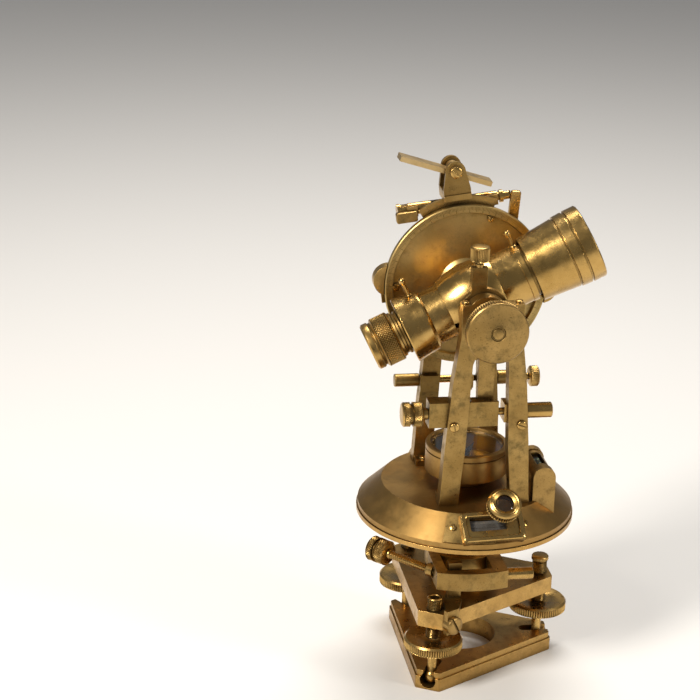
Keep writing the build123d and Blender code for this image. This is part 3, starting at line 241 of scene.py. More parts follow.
def circle_marks(t):
    """Degree lines on the raised rim of the vertical circle."""
    x, y, z = t.parts(tuple(TRUNNION))
    one = ring_lines(t, z, x, 360, 0.00013, 0.0364, 0.0380)
    five = ring_lines(t, z, x, 72, 0.00016, 0.0358, 0.0380)
    ten = ring_lines(t, z, x, 36, 0.00018, 0.0352, 0.0380)
    return t.math("MAXIMUM", one, t.math("MAXIMUM", five, ten))


def limb_marks(t):
    x, y, z = t.parts()
    one = ring_lines(t, y, x, 720, 0.00012, 0.0430, 0.0445)
    ten = ring_lines(t, y, x, 72, 0.00016, 0.0430, 0.0460)
    return t.math("MAXIMUM", one, ten)


def vernier_marks(t):
    x, y, z = t.parts()
    one = ring_lines(t, y, x, 720, 0.00013, 0.0446, 0.0457)
    ten = ring_lines(t, y, x, 144, 0.00017, 0.0446, 0.0461)
    other = ring_lines(t, y, x, 696, 0.00013, 0.0430, 0.0443)
    arc = t.math("SQRT", t.math("ADD", t.math("MULTIPLY", x, x), t.math("MULTIPLY", y, y)))
    seam = t.math("LESS_THAN", t.math("ABSOLUTE", t.math("SUBTRACT", arc, 0.04445)), 0.00009)
    return t.math("MAXIMUM", t.math("MAXIMUM", one, ten), t.math("MAXIMUM", other, seam))


def dial_marks(t):
    x, y, z = t.parts()
    two = ring_lines(t, y, x, 180, 0.00014, 0.0138, 0.0149)
    ten = ring_lines(t, y, x, 36, 0.0002, 0.0132, 0.0149)
    star = ring_lines(t, y, x, 4, 0.0005, 0.0030, 0.0120)
    half = ring_lines(t, y, x, 8, 0.0003, 0.0030, 0.0090)
    return t.math("MAXIMUM", t.math("MAXIMUM", two, ten), t.math("MAXIMUM", star, half))


def arc_marks(t):
    """Vernier lines on the index frame's arc, beside the circle's rim."""
    x, y, z = t.parts(tuple(TRUNNION))
    lines = ring_lines(t, z, x, 372, 0.00014, 0.0387, 0.0402)
    top = t.math("GREATER_THAN", z, 0.0300)
    return t.math("MULTIPLY", lines, top)


DARK = (0.105, 0.066, 0.022)
GREEN = (0.080, 0.066, 0.027)
MID = (0.46, 0.325, 0.115)
LIGHT = (0.70, 0.535, 0.235)
TURNED_Z = lathe_marks((0, 0, 0), 0, 1)

# The worked, knurled and knob brasses get strong painted shade in their hollows and knurl grooves.
materials = {
    "aged": brass("aged_brass", GREEN, (0.30, 0.215, 0.080), (0.50, 0.38, 0.165), 0.31, 0.16, 0.8, 0.7,
                  brushed=file_marks((500, 500, 3500))),
    "block": brass("block_brass", GREEN, (0.28, 0.20, 0.074), (0.50, 0.385, 0.165), 0.30, 0.16, 0.85, 0.75,
                   brushed=file_marks((250, 2500, 3800))),
    "polished": brass("polished_brass", DARK, MID, LIGHT, 0.22, 0.12, 0.32, 0.22, rounding=0.00012),
    "worked": brass("worked_brass", DARK, MID, LIGHT, 0.25, 0.12, 0.3, 0.2, hollow_shade=0.9, rounding=0,
                    groove_shade=0.95),
    "tube": brass("tube_brass", DARK, (0.47, 0.335, 0.12), (0.70, 0.535, 0.235), 0.21, 0.12, 0.35, 0.16,
                  brushed=tube_marks),
    "knurl": brass("knurled_brass", DARK, (0.41, 0.29, 0.105), LIGHT, 0.28, 0.12, 0.3, 0.2, hollow_shade=0.95,
                   rounding=0, groove_shade=0.95),
    "knob": brass("knob_brass", GREEN, (0.36, 0.26, 0.10), (0.54, 0.41, 0.185), 0.33, 0.14, 0.85, 0.9,
                  brushed=lathe_marks(tuple(TRUNNION), 0, 2), rounding=0, groove_shade=0.8),
    "plate": brass("plate_brass", (0.20, 0.10, 0.03), (0.34, 0.225, 0.082), (0.46, 0.33, 0.135), 0.36, 0.08,
                   0.35, 0.2, brushed=TURNED_Z),
    "limb": brass("limb_brass", (0.18, 0.10, 0.035), (0.46, 0.31, 0.11), (0.62, 0.45, 0.19), 0.26, 0.1,
                  0.35, 0.2, brushed=TURNED_Z, marks=limb_marks),
    "circle": brass("circle_brass", DARK, (0.46, 0.375, 0.165), (0.66, 0.55, 0.28), 0.37, 0.12, 0.5, 0.4,
                    brushed=lathe_marks(tuple(TRUNNION), 0, 2), marks=circle_marks),
    "index": brass("index_brass", GREEN, (0.45, 0.33, 0.125), (0.66, 0.505, 0.225), 0.3, 0.14, 0.5, 0.45,
                   brushed=file_marks((900, 900, 900)), marks=arc_marks),
    "base": brass("base_brass", (0.15, 0.085, 0.03), (0.42, 0.29, 0.105), (0.62, 0.455, 0.19), 0.3,
                  0.15, 0.55,
                  0.45, brushed=file_marks((300, 3200, 900))),
    "dark": brass("dark_brass", (0.06, 0.045, 0.02), (0.34, 0.245, 0.10), (0.52, 0.39, 0.17), 0.34, 0.15, 0.7,
                  0.7),
}


def silvered(name, marks, tone=0.42):
    t = Tree(name)
    cloud = t.noise(260, 6, 0.6)
    colour = t.mix(t.span(cloud, 0.4, 0.65), (tone, tone * 0.98, tone * 0.92), (tone * 0.55,
                                                                                tone * 0.5, tone * 0.42))
    colour = t.mix(marks(t), colour, (0.012, 0.011, 0.010))
    t.link(colour, t.shader.inputs["Base Color"])
    t.shader.inputs["Metallic"].default_value = 0.8
    t.link(t.span(cloud, 0.3, 0.7, 0.32, 0.55), t.shader.inputs["Roughness"])
    t.link(t.bump(t.noise(2600, 3), 0.00002, 0.4), t.shader.inputs["Normal"])
    return t.material


def clear(name, tint, rough=0.02, ior=1.5):
    t = Tree(name)
    t.shader.inputs["Base Color"].default_value = (*tint, 1)
    t.shader.inputs["Transmission Weight"].default_value = 1.0
    t.shader.inputs["IOR"].default_value = ior
    dust = t.span(t.noise(900, 6, 0.65), 0.45, 0.75, rough, rough + 0.08)
    t.link(dust, t.shader.inputs["Roughness"])
    return t.material


def steel(name, dark, light):
    t = Tree(name)
    cloud = t.noise(700, 6, 0.6)
    t.link(t.mix(t.span(cloud, 0.35, 0.65), light, dark), t.shader.inputs["Base Color"])
    t.shader.inputs["Metallic"].default_value = 1.0
    t.link(t.span(cloud, 0.3, 0.7, 0.22, 0.42), t.shader.inputs["Roughness"])
    return t.material


materials["verniers"] = silvered("silvered_vernier", vernier_marks, 0.30)
materials["dial"] = brass("dial_brass", DARK, (0.42, 0.31, 0.12), (0.58, 0.45, 0.20), 0.36, 0.12, 0.5, 0.4,
                          marks=dial_marks, rounding=0)
materials["glass"] = clear("lens_glass", (0.93, 0.97, 0.96))
materials["pane"] = clear("compass_pane", (0.97, 0.98, 0.96), 0.01, 1.45)
materials["vial"] = clear("vial_liquid", (0.72, 0.86, 0.55), 0.01, 1.4)
materials["lens_grey"] = clear("magnifier_glass", (0.62, 0.66, 0.64), 0.05)
materials["steel"] = steel("spring_steel", (0.10, 0.10, 0.11), (0.42, 0.43, 0.46))
materials["needle"] = steel("blued_steel", (0.015, 0.016, 0.025), (0.06, 0.065, 0.09))

materials["mirror"] = brass("mirror_brass", DARK, (0.72, 0.58, 0.30), (0.90, 0.78, 0.50), 0.3, 0.1, 0.2, 0.15,
                            rounding=0.00015)

LOOK = {
    "aged": ["tangent_lug", "lower_clamp_frame", "front_standard", "rear_standard", "bearing_caps",
             "mirror_bracket", "telescope_clamp", "vernier_frames"],
    "block": ["tangent_block", "clip_blocks"],
    "base": ["base_plate", "base_lock_plate", "tribrach"],
    "polished": ["lower_spring_barrel", "lower_plunger", "front_spring_barrel", "front_plunger",
                 "clip_plunger",
                 "plate_magnifier", "inner_axis", "axis_nut", "altitude_level_case", "sight_pins"],
    "tube": ["telescope_hub", "telescope_tube", "eyepiece_tube", "draw_tube", "sunshade"],
    "plate": ["upper_plate", "compass_box"],
    "limb": ["limb"],
    "circle": ["vertical_circle"],
    "index": ["index_frame"],
    "dark": ["plate_level_case"],
    "verniers": ["verniers"],
    "dial": ["compass_dial"],
    "glass": ["objective_lens", "eyepiece_lens", "reticle"],
    "pane": ["compass_glass"],
    "vial": ["plate_level_vial", "altitude_level_vial"],
    "lens_grey": ["plate_magnifier_lens"],
    "needle": ["compass_needle"],
    "mirror": ["mirror"],
}
for look, members in LOOK.items():
    for member in members:
        obj = nodes[member]
        obj.data.materials.clear()
        obj.data.materials.append(materials[look])


# ------------------------------------------------------------------ mesh helpers
def piece(name, verts, faces, material, body, slot, smooth=38.0):
    mesh = bpy.data.meshes.new(name)
    mesh.from_pydata([tuple(v) for v in verts], [], faces)
    mesh.validate()
    mesh.shade_smooth()
    mesh.set_sharp_from_angle(angle=radians(smooth))
    obj = bpy.data.objects.new(name, mesh)
    scene.collection.objects.link(obj)
    mesh.materials.append(materials[material])
    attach(obj, body)
    return obj


def lathe(origin, axis, outline, around=96, teeth=60, depth=0.25, pitch=0.5):
    """Vertices and faces of a turned form, in metres, from (station, radius, kind) in millimetres.

    kind says how the stretch up to the next point is worked: plain, straight (straight knurl),
    diamond (crossed knurl), thread or gear."""
    w = Vector(axis).normalized()
    u = w.orthogonal().normalized()
    v = w.cross(u)
    rows = []
    for i, point in enumerate(outline):
        s, r = point[0], point[1]
        kind = point[2] if len(point) > 2 else "plain"
        rows.append((s, r, None))
        if kind == "plain":
            continue
        s1, r1 = outline[i + 1][0], outline[i + 1][1]
        run = s1 - s
        if kind == "straight" or kind == "gear":
            lead = min(0.35, abs(run) / 5) * (1 if run > 0 else -1)
            stations = [s + lead, s1 - lead]
        elif kind == "diamond":
            count = max(6, int(abs(run) / (2 * pi * max(r, r1) / teeth) * 6))
            stations = [s + run * (k + 0.5) / count for k in range(count)]
        else:
            count = max(8, int(abs(run) / pitch * 6))
            stations = [s + run * (k + 0.5) / count for k in range(count)]
        for station in stations:
            f = (station - s) / run
            rows.append((station, r + (r1 - r) * f, kind))
    verts, faces, rings = [], [], []
    for s, r, kind in rows:
        if r < 1e-6:
            rings.append([len(verts)])
            verts.append((Vector(origin) + w * s) * MM)
            continue
        ring = []
        for k in range(around):
            a = 2 * pi * k / around
            cut = 0.0
            if kind == "straight" or kind == "gear":
                cut = depth * (0.5 - 0.5 * cos(teeth * a))
            elif kind == "diamond":
                lead = s * teeth / (2 * pi * r)
                turn = teeth * a / (2 * pi)
                one, two = (turn + lead) % 1.0, (turn - lead) % 1.0
                cut = depth * max(abs(2 * one - 1), abs(2 * two - 1))
            elif kind == "thread":
                cut = depth * abs(2 * ((s / pitch - k / around) % 1.0) - 1)
            ring.append(len(verts))
            verts.append((Vector(origin) + w * s + (u * cos(a) + v * sin(a)) * (r - cut)) * MM)
        rings.append(ring)
    for one, two in zip(rings, rings[1:]):
        if len(one) == 1 and len(two) == 1:
            continue
        for k in range(around):
            n = (k + 1) % around
            if len(one) == 1:
                faces.append((one[0], two[n], two[k]))
            elif len(two) == 1:
                faces.append((one[k], one[n], two[0]))
            else:
                faces.append((one[k], one[n], two[n], two[k]))
    return verts, faces


def join(*forms):
    verts, faces = [], []
    for v, f in forms:
        base = len(verts)
        verts += v
        faces += [tuple(i + base for i in face) for face in f]
    return verts, faces


def turned(name, body, slot, material, origin, axis, outline, stands_for=(), **work):
    """A turned piece; a closed outline that starts and ends off the axis gets its bore closed too."""
    verts, faces = lathe(origin, axis, outline, **work)
    obj = piece(name, verts, faces, material, body, slot)
    clean(obj)
    if stands_for:
        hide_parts(*stands_for)
    return obj


def clean(obj):
    """Welds coincident points and turns every face outwards."""
    form = bmesh.new()
    form.from_mesh(obj.data)
    bmesh.ops.remove_doubles(form, verts=form.verts, dist=1e-7)
    bmesh.ops.recalc_face_normals(form, faces=form.faces)
    form.to_mesh(obj.data)
    form.free()
    obj.data.set_sharp_from_angle(angle=radians(38))


# ------------------------------------------------------------------ foot screws
def spindle_outline(head):
    ball = [(4.65 + 3.6 * sin(radians(a)), 3.6 * cos(radians(a))) for a in range(-90, 46, 9)]
    ball += [(7.6, 2.25), (17.5, 2.25), (18.5, 4.6)]
    if head:
        ball += [(20.0, 4.6), (20.0, 11.3), (20.5, 12.9), (21.0, 13.8, "straight"), (24.7, 13.8),
                 (25.5, 13.0),
                 (25.5, 7.0), (25.2, 6.6), (25.2, 4.2), (25.55, 3.6, "thread")]
    else:
        ball += [(19.95, 4.6), (19.95, 3.2), (25.55, 3.2), (25.55, 3.6, "thread")]
    return ball + [(45.6, 3.6), (46.0, 3.2), (46.0, 2.5), (45.7, 2.2), (43.0, 2.2), (43.0, 0)]


for name in ("a", "c"):
    at = (FOOT_R * cos(radians(FOOT_ANGLES[name])), FOOT_R * sin(radians(FOOT_ANGLES[name])), 0)
    turned(f"foot_screw_{name}_detail", f"foot_screw_{name}", "polished_brass", "worked", at, (0, 0, 1),
           spindle_outline(True), (f"foot_screw_{name}",), around=288, teeth=72, depth=0.55, pitch=0.75)
at = (FOOT_R, 0, 0)
turned("foot_screw_b_detail", "foot_screw_b", "polished_brass", "worked", at, (0, 0, 1),
       spindle_outline(False), ("foot_screw_b",), around=96, depth=0.4, pitch=0.75)
turned("foot_screw_b_cap", "foot_screw_b", "polished_brass", "worked", at, (0, 0, 1),
       [(46.02, 0), (46.02, 3.5), (46.6, 4.1, "straight"), (48.1, 4.1), (48.6, 3.8), (48.8, 3.3), (48.8, 0)],
       around=144, teeth=36, depth=0.25)
turned("foot_screw_b_head_detail", "foot_screw_b_head", "polished_brass", "worked", at, (0, 0, 1),
       [(20.0, 3.25), (20.0, 11.3), (20.5, 12.9), (21.0, 13.8, "straight"), (24.7, 13.8), (25.5, 13.0),
        (25.5, 7.0), (25.2, 6.6), (25.2, 4.2), (25.5, 3.6), (25.5, 3.25), (20.0, 3.25)],
       ("foot_screw_b_head",), around=288, teeth=72, depth=0.55)

# ------------------------------------------------------------------ tangent and clamp screws
def knob_stretch(face, length, radius):
    groove = 0.55 * length
    return [(face, 2.2), (face, radius - 1.2), (face + 0.3, radius - 0.6), (face + 0.8, radius, "diamond"),
            (face + groove - 0.7, radius), (face + groove - 0.5, radius - 0.9),
            (face + groove + 0.5, radius - 0.9), (face + groove + 0.7, radius, "diamond"),
            (face + length - 0.8, radius), (face + length - 0.2, radius - 0.7), (face + length, radius - 1.4),
            (face + length, 0)]


SCREW_DIR = Vector((-0.661, 0.750, 0)).normalized()
turned("lower_tangent_screw_detail", "lower_tangent_screw", "polished_brass", "worked", (-15.6, -22.0, 52.5),
       SCREW_DIR, [(-2.4, 0), (-2.4, 1.5), (-1.9, 2.0, "thread"), (29.0, 2.0), (29.4, 2.2)]
       + knob_stretch(30.2, 10.5, 6.1), ("lower_tangent_screw",), around=288, teeth=36, depth=0.5, pitch=1.2)
turned("front_tangent_screw_detail", "front_tangent_screw", "polished_brass", "worked", (0, -23.8, 134.4),
       (-1, 0, 0), [(5.9, 0), (5.9, 1.6), (6.3, 2.0, "thread"), (24.3, 2.0), (24.7, 2.7), (26.9, 2.7)]
       + knob_stretch(27.0, 9.8, 5.7), ("front_tangent_screw",), around=272, teeth=34, depth=0.45, pitch=0.9)
turned("clip_screw_detail", "clip_screw", "polished_brass", "worked", (7.4, 26.25, 131.6), (1, 0, 0),
       [(0, 0), (0, 1.1), (0.5, 1.6, "thread"), (26.4, 1.6), (27.4, 1.6), (27.4, 3.9), (27.9, 4.6),
        (28.1, 5.0, "straight"), (31.5, 5.0), (32.0, 4.5), (32.2, 4.1), (32.2, 0)],
       ("clip_screw",), around=128, teeth=32, depth=0.3, pitch=0.6)
turned("lower_clamp_screw_detail", "lower_clamp_screw", "polished_brass", "worked", (0, 13.4, 52.5),
       (0, 1, 0),
       [(0, 0), (0, 1.6), (0.4, 2.0, "thread"), (8.6, 2.0), (9.0, 2.0), (9.0, 5.0), (9.4, 5.8),
        (9.8, 6.2, "diamond"), (15.2, 6.2), (15.7, 5.6), (16.0, 5.0), (16.0, 0)],
       ("lower_clamp_screw",), around=288, teeth=36, depth=0.45, pitch=0.8)
turned("telescope_clamp_screw_detail", "telescope_clamp_screw", "knurled_brass", "knurl", (-3.0, -21.0, 0),
       (0, 0, 1), [(191, 0), (191, 0.7), (191.4, 1.05, "thread"), (203.6, 1.05), (203.6, 1.9), (204.9, 1.9),
                   (205.1, 1.5), (206.1, 1.5), (206.2, 3.4), (206.6, 4.3, "straight"), (212.5, 4.4),
                   (213.0, 4.0),
                   (213.2, 3.6), (213.2, 0)],
       ("telescope_clamp_screw",), around=136, teeth=34, depth=0.35, pitch=0.5)

# ------------------------------------------------------------------ focus knob with its pinion
FACE, BACK = -50.9, -45.0
knob = lathe((0, 0, 182.0), (0, 1, 0),
             [(FACE - 0.5, 0), (FACE - 0.45, 1.6), (FACE - 0.2, 2.4), (FACE + 0.35, 2.7), (FACE + 0.35, 3.2),
              (FACE - 0.1, 3.5), (FACE, 3.9), (FACE, 13.5), (FACE + 0.4, 14.0), (FACE + 0.7, 14.1,
                                                                                 "straight"), (BACK - 0.8, 14.1), (BACK - 0.2, 13.6),
              (BACK, 12.8), (BACK, 7.5), (-42.5, 6.6), (-31.4, 6.6), (-31.4, 2.0), (-14.9, 2.0), (-14.9, 0)],
             around=304, teeth=76, depth=0.45)
pinion = lathe((0, 0, 182.0), (0, 1, 0), [(-14.9, 0), (-14.9, 2.3), (-14.88, 3.2, "gear"), (-12.92, 3.2),
                                          (-12.9, 2.3), (-12.9, 0)], around=160, teeth=10, depth=0.9)
obj = piece("focus_knob_detail", *join(knob, pinion), "knob", "focus_knob", "knurled_brass")
clean(obj)
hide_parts("focus_knob")

# ------------------------------------------------------------------ eyepiece
turned("eyepiece_detail", "eyepiece", "knurled_brass", "knurl", tuple(TRUNNION / MM), tuple(-SIGHT),
       [(30.0, 6.8), (30.0, 9.0), (35.9, 9.0), (35.9, 10.3), (36.2, 10.6), (37.0, 10.6), (37.6, 9.9),
        (38.6, 9.9), (39.0, 10.8), (40.0, 10.8), (40.3, 11.5), (40.7, 12.0, "diamond"), (48.2, 12.0),
        (48.8, 11.3), (49.2, 10.5), (49.8, 10.5), (50.2, 11.0), (50.6, 11.2), (52.9, 11.2), (53.7, 10.4),
        (53.7, 8.2), (53.3, 7.6), (50.9, 4.8), (50.6, 4.6), (49.2, 4.6), (49.2, 6.8), (30.0, 6.8)],
       ("eyepiece",), around=416, teeth=52, depth=0.6)


# ------------------------------------------------------------------ springs
def coil(start, axis, length, radius, wire, turns, sides=10):
    w = Vector(axis).normalized()
    u = w.orthogonal().normalized()
    v = w.cross(u)
    steps = int(turns * 28)
    centre, verts, faces = [], [], []
    for k in range(steps + 1):
        f = k / steps
        a = 2 * pi * turns * f
        ease = wire + (length - 2 * wire) * f
        centre.append(Vector(start) + w * ease + (u * cos(a) + v * sin(a)) * (radius - wire))
    for k, p in enumerate(centre):
        along = (centre[min(k + 1, steps)] - centre[max(k - 1, 0)]).normalized()
        out = (p - Vector(start) - w * (p - Vector(start)).dot(w)).normalized()
        side = along.cross(out).normalized()
        out = side.cross(along)
        for j in range(sides):
            b = 2 * pi * j / sides
            verts.append((p + (out * cos(b) + side * sin(b)) * wire) * MM)
    for k in range(steps):
        for j in range(sides):
            n = (j + 1) % sides
            faces.append((k * sides + j, k * sides + n, (k + 1) * sides + n, (k + 1) * sides + j))
    faces.append(tuple(range(sides)))
    faces.append(tuple(steps * sides + j for j in reversed(range(sides))))
    return verts, faces


obj = piece("lower_spring_coil", *coil((20.3, -26.5, 52.5), (1, 0, 0), 6.1, 2.05, 0.3, 6), "steel",
            "lower_clamp", "steel", 60)
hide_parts("lower_spring")
obj = piece("barrel_spring_coils", *join(coil((25.6, -23.8, 134.4), (1, 0, 0), 5.7, 2.65, 0.4, 5),
                                         coil((-28.9, 26.25, 131.6), (1, 0, 0), 5.0, 2.3, 0.35, 5)),
            "steel", "alidade", "steel", 60)
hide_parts("barrel_springs")


# ------------------------------------------------------------------ slotted screws
def slotted(origin, axis, radius, height, slot_turn, root=0.4, crown=0.35, slot=None):
    """A domed screw head with a slot, on a short root, as vertices and faces in metres."""
    slot = slot or radius * 0.16
    w = Vector(axis).normalized()
    ref = Vector((0, 0, 1)) if abs(w.z) < 0.9 else Vector((1, 0, 0))
    u = (ref - w * ref.dot(w)).normalized()
    v = w.cross(u)
    u, v = u * cos(slot_turn) + v * sin(slot_turn), v * cos(slot_turn) - u * sin(slot_turn)
    form = bmesh.new()
    around = 48
    profile = [(-root, radius * 0.98), (height - crown, radius), (height - crown * 0.45, radius * 0.93),
               (height - crown * 0.12, radius * 0.72), (height, radius * 0.3)]
    rings = []
    for s, r in profile:
        rings.append([form.verts.new(Vector(origin) + w * s + (u * cos(2 * pi * k / around)
                                     + v * sin(2 * pi * k / around)) * r) for k in range(around)])
    for one, two in zip(rings, rings[1:]):
        for k in range(around):
            form.faces.new((one[k], one[(k + 1) % around], two[(k + 1) % around], two[k]))
    form.faces.new(rings[-1])
    form.faces.new(list(reversed(rings[0])))
    depth = height * 0.42
    for flip in (-1, 1):
        bmesh.ops.bisect_plane(form, geom=form.verts[:] + form.edges[:] + form.faces[:], dist=1e-5,
                               plane_co=Vector(origin) + v * slot * flip, plane_no=v)
    floor = height - depth
    doomed = [f for f in form.faces
              if abs((f.calc_center_median() - Vector(origin)).dot(v)) < slot
              and (f.calc_center_median() - Vector(origin)).dot(w) > floor]
    bmesh.ops.delete(form, geom=doomed, context="FACES")
    rim = [e for e in form.edges if e.is_boundary]
    made = bmesh.ops.extrude_edge_only(form, edges=rim)
    for vert in [g for g in made["geom"] if isinstance(g, bmesh.types.BMVert)]:
        off = (vert.co - Vector(origin)).dot(w)
        vert.co += w * (floor - off)
        out = vert.co - Vector(origin) - w * floor
        vert.co = Vector(origin) + w * floor + out * 0.985
    rest = [e for e in form.edges if e.is_boundary]
    bmesh.ops.holes_fill(form, edges=rest, sides=0)
    bmesh.ops.recalc_face_normals(form, faces=form.faces)
    form.verts.index_update()
    verts = [p.co * MM for p in form.verts]
    faces = [tuple(p.index for p in f.verts) for f in form.faces]
    form.free()
    return verts, faces


screws = []
for side in (-1, 1):
    for x in (-1, 1):
        off = 2.6 if side < 0 else 0.0
        screws.append(slotted((off + x * 12.3, side * 26.25, 188.0), (0, 0, 1), 1.7, 1.2, 0.4 * x + side))
        screws.append(slotted((off + x * 16.5, side * 20.2, 93.1), (0, 0, 1), 2.0, 1.3, 0.9 * x - 0.3 * side))
        screws.append(slotted((off + x * 15.7, side * 29.5, 129.6 if side < 0 else 122.5), (0, side,
                                                                                            0), 2.1, 1.4,
                              0.7 + x * 0.5))
obj = piece("standard_screw_heads", *join(*screws), "polished", "alidade", "dark_brass")
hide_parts("standard_screws")

slope = sqrt(11.0 ** 2 + 10.5 ** 2)
small = []
for middle in (-86.0, 94.0):
    for off, lift in ((-22.5, 1.0), (21.5, 0.0)):
        a = radians(middle + off)
        n = Vector((cos(a) * 10.5 / slope, sin(a) * 10.5 / slope, 11.0 / slope))
        small.append(slotted(Vector((45.5 * cos(a), 45.5 * sin(a), 85.25)) + n * lift, n, 1.6, 0.9,
                             0.6 + off, 0.3))
piece("vernier_frame_screws", *join(*small), "polished", "alidade", "polished_brass")
piece("circle_screws", *join(slotted((-33.0, 19.4, 181.2), (0, -1, 0), 1.9, 1.3, 0.8),
                             slotted((10.6, 19.4, 213.6), (0, -1, 0), 1.7, 1.1, -0.5)),
      "polished", "telescope", "polished_brass")
pivot = Vector((-55.0 * sin(radians(7.5)), 0, 182.0 + 55.0 * cos(radians(7.5))))
piece("mirror_pivot_screw", *slotted(pivot + Vector((0, 17.3, 0)), (0, -1, 0), 2.7, 1.0, 0.7),
      "polished", "mirror",
      "polished_brass")

pins = [lathe(tuple((TRUNNION + SIGHT * station * MM) / MM), tuple(UP_N),
              [(root - 0.3, 0), (root - 0.3, 1.6), (root + 0.5, 1.6), (root + 0.9, 1.15),
               (root + tall - 3.2, 0.95),
               (root + tall - 2.7, 1.15), (root + tall - 1.9, 1.5), (root + tall - 0.9, 1.5),
               (root + tall - 0.2, 1.1), (root + tall, 0.7), (root + tall - 0.5, 0.5),
               (root + tall - 0.5, 0)],
              around=28) for station, root, tall in ((-27.0, 14.6, 9.3), (25.7, 13.8, 8.6))]
obj = piece("sight_pins_detail", *join(*pins), "polished", "telescope", "polished_brass")
clean(obj)
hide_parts("sight_pins")

lens_at, lens_dir = (8.0, -45.6, 96.5), Vector((0, -cos(radians(50)), sin(radians(50))))
ring = lathe(lens_at, lens_dir, [(-3.4, 4.6), (-3.4, 5.9), (-3.1, 6.4), (-1.4, 6.4), (-1.3, 7.0),
                                 (-0.9, 7.8, "straight"), (2.7, 7.8), (3.2, 7.3), (3.6, 6.9), (3.8, 6.4),
                                 (3.6, 6.0), (3.8, 5.6), (3.5, 4.7), (3.25, 4.2), (3.2, 4.2), (3.2, 5.36),
                                 (1.6, 5.36), (1.6, 4.6), (-3.4, 4.6)],
             around=240, teeth=40, depth=0.8)
post = lathe((5.5, -35.3, 90.5), (0, 0, 1), [(0, 2.6), (3.1, 2.6), (3.2, 3.0), (4.9, 3.0), (5.2,
                                                                                            2.6), (5.2, 0)],
             around=48)
arm_start = Vector((5.5, -35.3, 94.7))
arm_end = Vector(lens_at) - lens_dir * 2.0 - Vector((5.6, 0, 0))
arm = lathe(arm_start, arm_end - arm_start, [(0, 0), (0, 1.5), ((arm_end - arm_start).length, 1.5),
                                             ((arm_end - arm_start).length, 0)], around=32)
obj = piece("plate_magnifier_detail", *join(ring, post, arm), "worked", "plate_magnifier", "polished_brass")
clean(obj)
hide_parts("plate_magnifier")

# ------------------------------------------------------------------ plates with rounded corners
def rounded(width, height, corner, steps=6):
    points = []
    for cx, cy, start in ((1, 1, 0), (-1, 1, 90), (-1, -1, 180), (1, -1, 270)):
        for k in range(steps + 1):
            a = radians(start + 90 * k / steps)
            points.append((cx * (width / 2 - corner) + corner * cos(a),
                           cy * (height / 2 - corner) + corner * sin(a)))
    return points


def raised(origin, across, upward, layers):
    """A stack of outlines, as (points, height) layers, closed at both ends."""
    u = Vector(across).normalized()
    n = u.cross(Vector(upward)).normalized()
    v = n.cross(u)
    verts, faces = [], []
    for points, lift in layers:
        verts += [(Vector(origin) + u * x + v * y + n * lift) * MM for x, y in points]
    count = len(layers[0][0])
    for k in range(len(layers) - 1):
        for i in range(count):
            j = (i + 1) % count
            faces.append((k * count + i, k * count + j, (k + 1) * count + j, (k + 1) * count + i))
    faces.append(tuple(reversed(range(count))))
    faces.append(tuple(range((len(layers) - 1) * count, len(layers) * count)))
    return verts, faces


def ring_plate(origin, across, upward, outer, inner, low, high):
    """A flat frame: rounded outside and window, with softened top edges."""
    (ow, oh, oc), (iw, ih, ic) = outer, inner
    layers = [(rounded(ow, oh, oc), low), (rounded(ow, oh, oc), high - 0.4), (rounded(ow - 0.8,
                                                                                      oh - 0.8, oc), high),
              (rounded(iw + 0.6, ih + 0.6, ic), high), (rounded(iw, ih, ic), high - 0.3),
              (rounded(iw, ih, ic), low),
              (rounded(ow, oh, oc), low)]
    verts, faces = raised(origin, across, upward, layers)
    return verts, faces[:-2]


rims = []
for middle in (-86.0, 94.0):
    a = radians(middle)
    out_r = Vector((cos(a), sin(a), 0))
    n = out_r * (10.5 / slope) + Vector((0, 0, 11.0 / slope))
    upward = Vector((0, 0, 1)) * (10.5 / slope) - out_r * (11.0 / slope)
    at = out_r * 45.5 + Vector((0, 0, 85.25))
    rims.append(ring_plate(at + upward * 0.6 + n * 2.3, Vector((-sin(a), cos(a), 0)), upward,
                           (29.2, 14.4, 1.5), (24.4, 10.0, 1.6), 0.0, 0.7))
obj = piece("vernier_frame_rims", *join(*rims), "polished", "alidade", "polished_brass")
clean(obj)

lean = radians(4.0)
obj = piece("altitude_level_end_plate",
            *raised((22.6, 24.2, 217.4), (cos(lean), 0, -sin(lean)), (sin(lean), 0, cos(lean)),
                    [(rounded(4.4, 15.6, 1.0), -1.2), (rounded(4.8, 16.0, 1.2), -0.9),
                     (rounded(4.8, 16.0, 1.2), 0.9), (rounded(4.4, 15.6, 1.0), 1.2)]),
            "polished", "index_frame", "aged_brass")
clean(obj)
tilt = radians(7.5)
obj = piece("index_arc_end",
            *raised((-28.6, 22.3, 214.2), (cos(tilt), 0, sin(tilt)), (-sin(tilt), 0, cos(tilt)),
                    [(rounded(9.6, 4.6, 0.8), -1.6), (rounded(10.0, 5.0, 1.0), -1.3),
                     (rounded(10.0, 5.0, 1.0), 1.3), (rounded(9.6, 4.6, 0.8), 1.6)]),
            "aged", "index_frame", "aged_brass")
clean(obj)

out = Vector((cos(radians(-60)), sin(radians(-60)), 0))
along = Vector((cos(radians(30)), sin(radians(30)), 0))
side_d = 44.0 * cos(radians(60)) + 6.4 * sin(radians(60))
head_at = out * (side_d + 2.6) + along * -31.5 + Vector((0, 0, 35.0))
obj = piece("lug_screw_head", *slotted(head_at, out, 4.4, 2.4, 0.5, root=2.4, crown=0.7), "dark", "tribrach",
            "dark_brass")
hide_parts("lug_screw")

# ------------------------------------------------------------------ level bubbles and crosshairs
def capsule(start, axis, length, radius):
    rows = [(0, 0)] + [(radius - radius * cos(a), radius * sin(a)) for a in (0.35, 0.7, 1.05, 1.4)]
    rows += [(length - s, r) for s, r in reversed(rows)]
    return lathe(start, axis, rows, around=32)


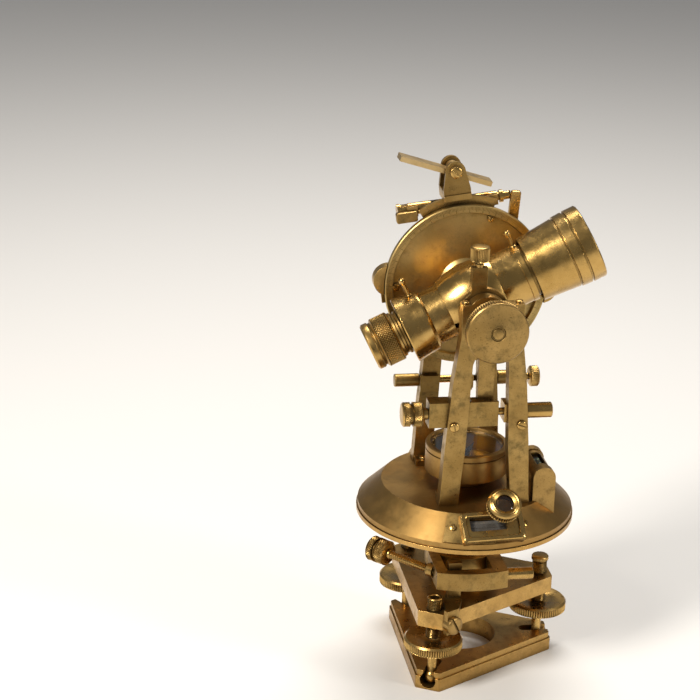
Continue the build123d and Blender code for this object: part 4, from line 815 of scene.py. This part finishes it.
air = Tree("bubble_air")
air.shader.inputs["Base Color"].default_value = (0.93, 0.96, 0.88, 1)
air.shader.inputs["Roughness"].default_value = 0.04
air.shader.inputs["Transmission Weight"].default_value = 0.85
air.shader.inputs["IOR"].default_value = 1.0
materials["air"] = air.material
piece("plate_level_bubble", *capsule((31.0, -19.0, 104.2), (0, 1, 0), 7.6, 1.05), "air", "alidade", "glass")

# ------------------------------------------------------------------ floor, light, camera
def stage_plane():
    mesh = bpy.data.meshes.new("studio_floor")
    mesh.from_pydata([(-6, -6, 0), (6, -6, 0), (6, 6, 0), (-6, 6, 0)], [], [(0, 1, 2, 3)])
    obj = bpy.data.objects.new("studio_floor", mesh)
    scene.collection.objects.link(obj)
    t = Tree("floor_paint")
    t.shader.inputs["Base Color"].default_value = (0.72, 0.71, 0.69, 1)
    t.shader.inputs["Roughness"].default_value = 0.55
    mesh.materials.append(t.material)


def lamp(name, at, aim, size, power, colour=(1, 1, 1)):
    light = bpy.data.lights.new(name, "AREA")
    light.shape = "RECTANGLE"
    light.size, light.size_y = size
    light.energy = power
    light.color = colour
    obj = bpy.data.objects.new(name, light)
    obj.location = at
    obj.rotation_euler = (Vector(aim) - Vector(at)).to_track_quat("-Z", "Y").to_euler()
    scene.collection.objects.link(obj)


stage_plane()
lamp("key_softbox", (-0.85, -0.55, 0.95), (0, 0, 0.13), (0.3, 0.5), 19, (1.0, 0.95, 0.88))
lamp("fill_softbox", (0.95, -0.65, 0.6), (0, 0, 0.12), (0.16, 0.6), 5.5, (1.0, 0.96, 0.9))
lamp("top_softbox", (0.15, 0.5, 1.1), (0, 0, 0.1), (0.7, 0.3), 11, (1.0, 0.96, 0.91))
world = bpy.data.worlds.new("studio_air")
world.use_nodes = True
world.node_tree.nodes["Background"].inputs["Color"].default_value = (0.62, 0.62, 0.63, 1)
world.node_tree.nodes["Background"].inputs["Strength"].default_value = 0.3
scene.world = world

camera_data = bpy.data.cameras.new("camera")
camera_data.sensor_width = 36.0
camera_data.lens = 110.66
camera_data.clip_start = 0.01
camera = bpy.data.objects.new("camera", camera_data)
right = Vector((0.98734, -0.15647, 0.02589))
ahead = Vector((0.15564, 0.92457, -0.34778)).normalized()
right = (right - ahead * right.dot(ahead)).normalized()
above = right.cross(ahead)
turned_to = Matrix((right, above, -ahead)).transposed()
camera.matrix_world = Matrix.Translation((-0.21154, -0.91629, 0.50234)) @ turned_to.to_4x4()
scene.collection.objects.link(camera)
scene.camera = camera
scene.view_settings.view_transform = "Standard"
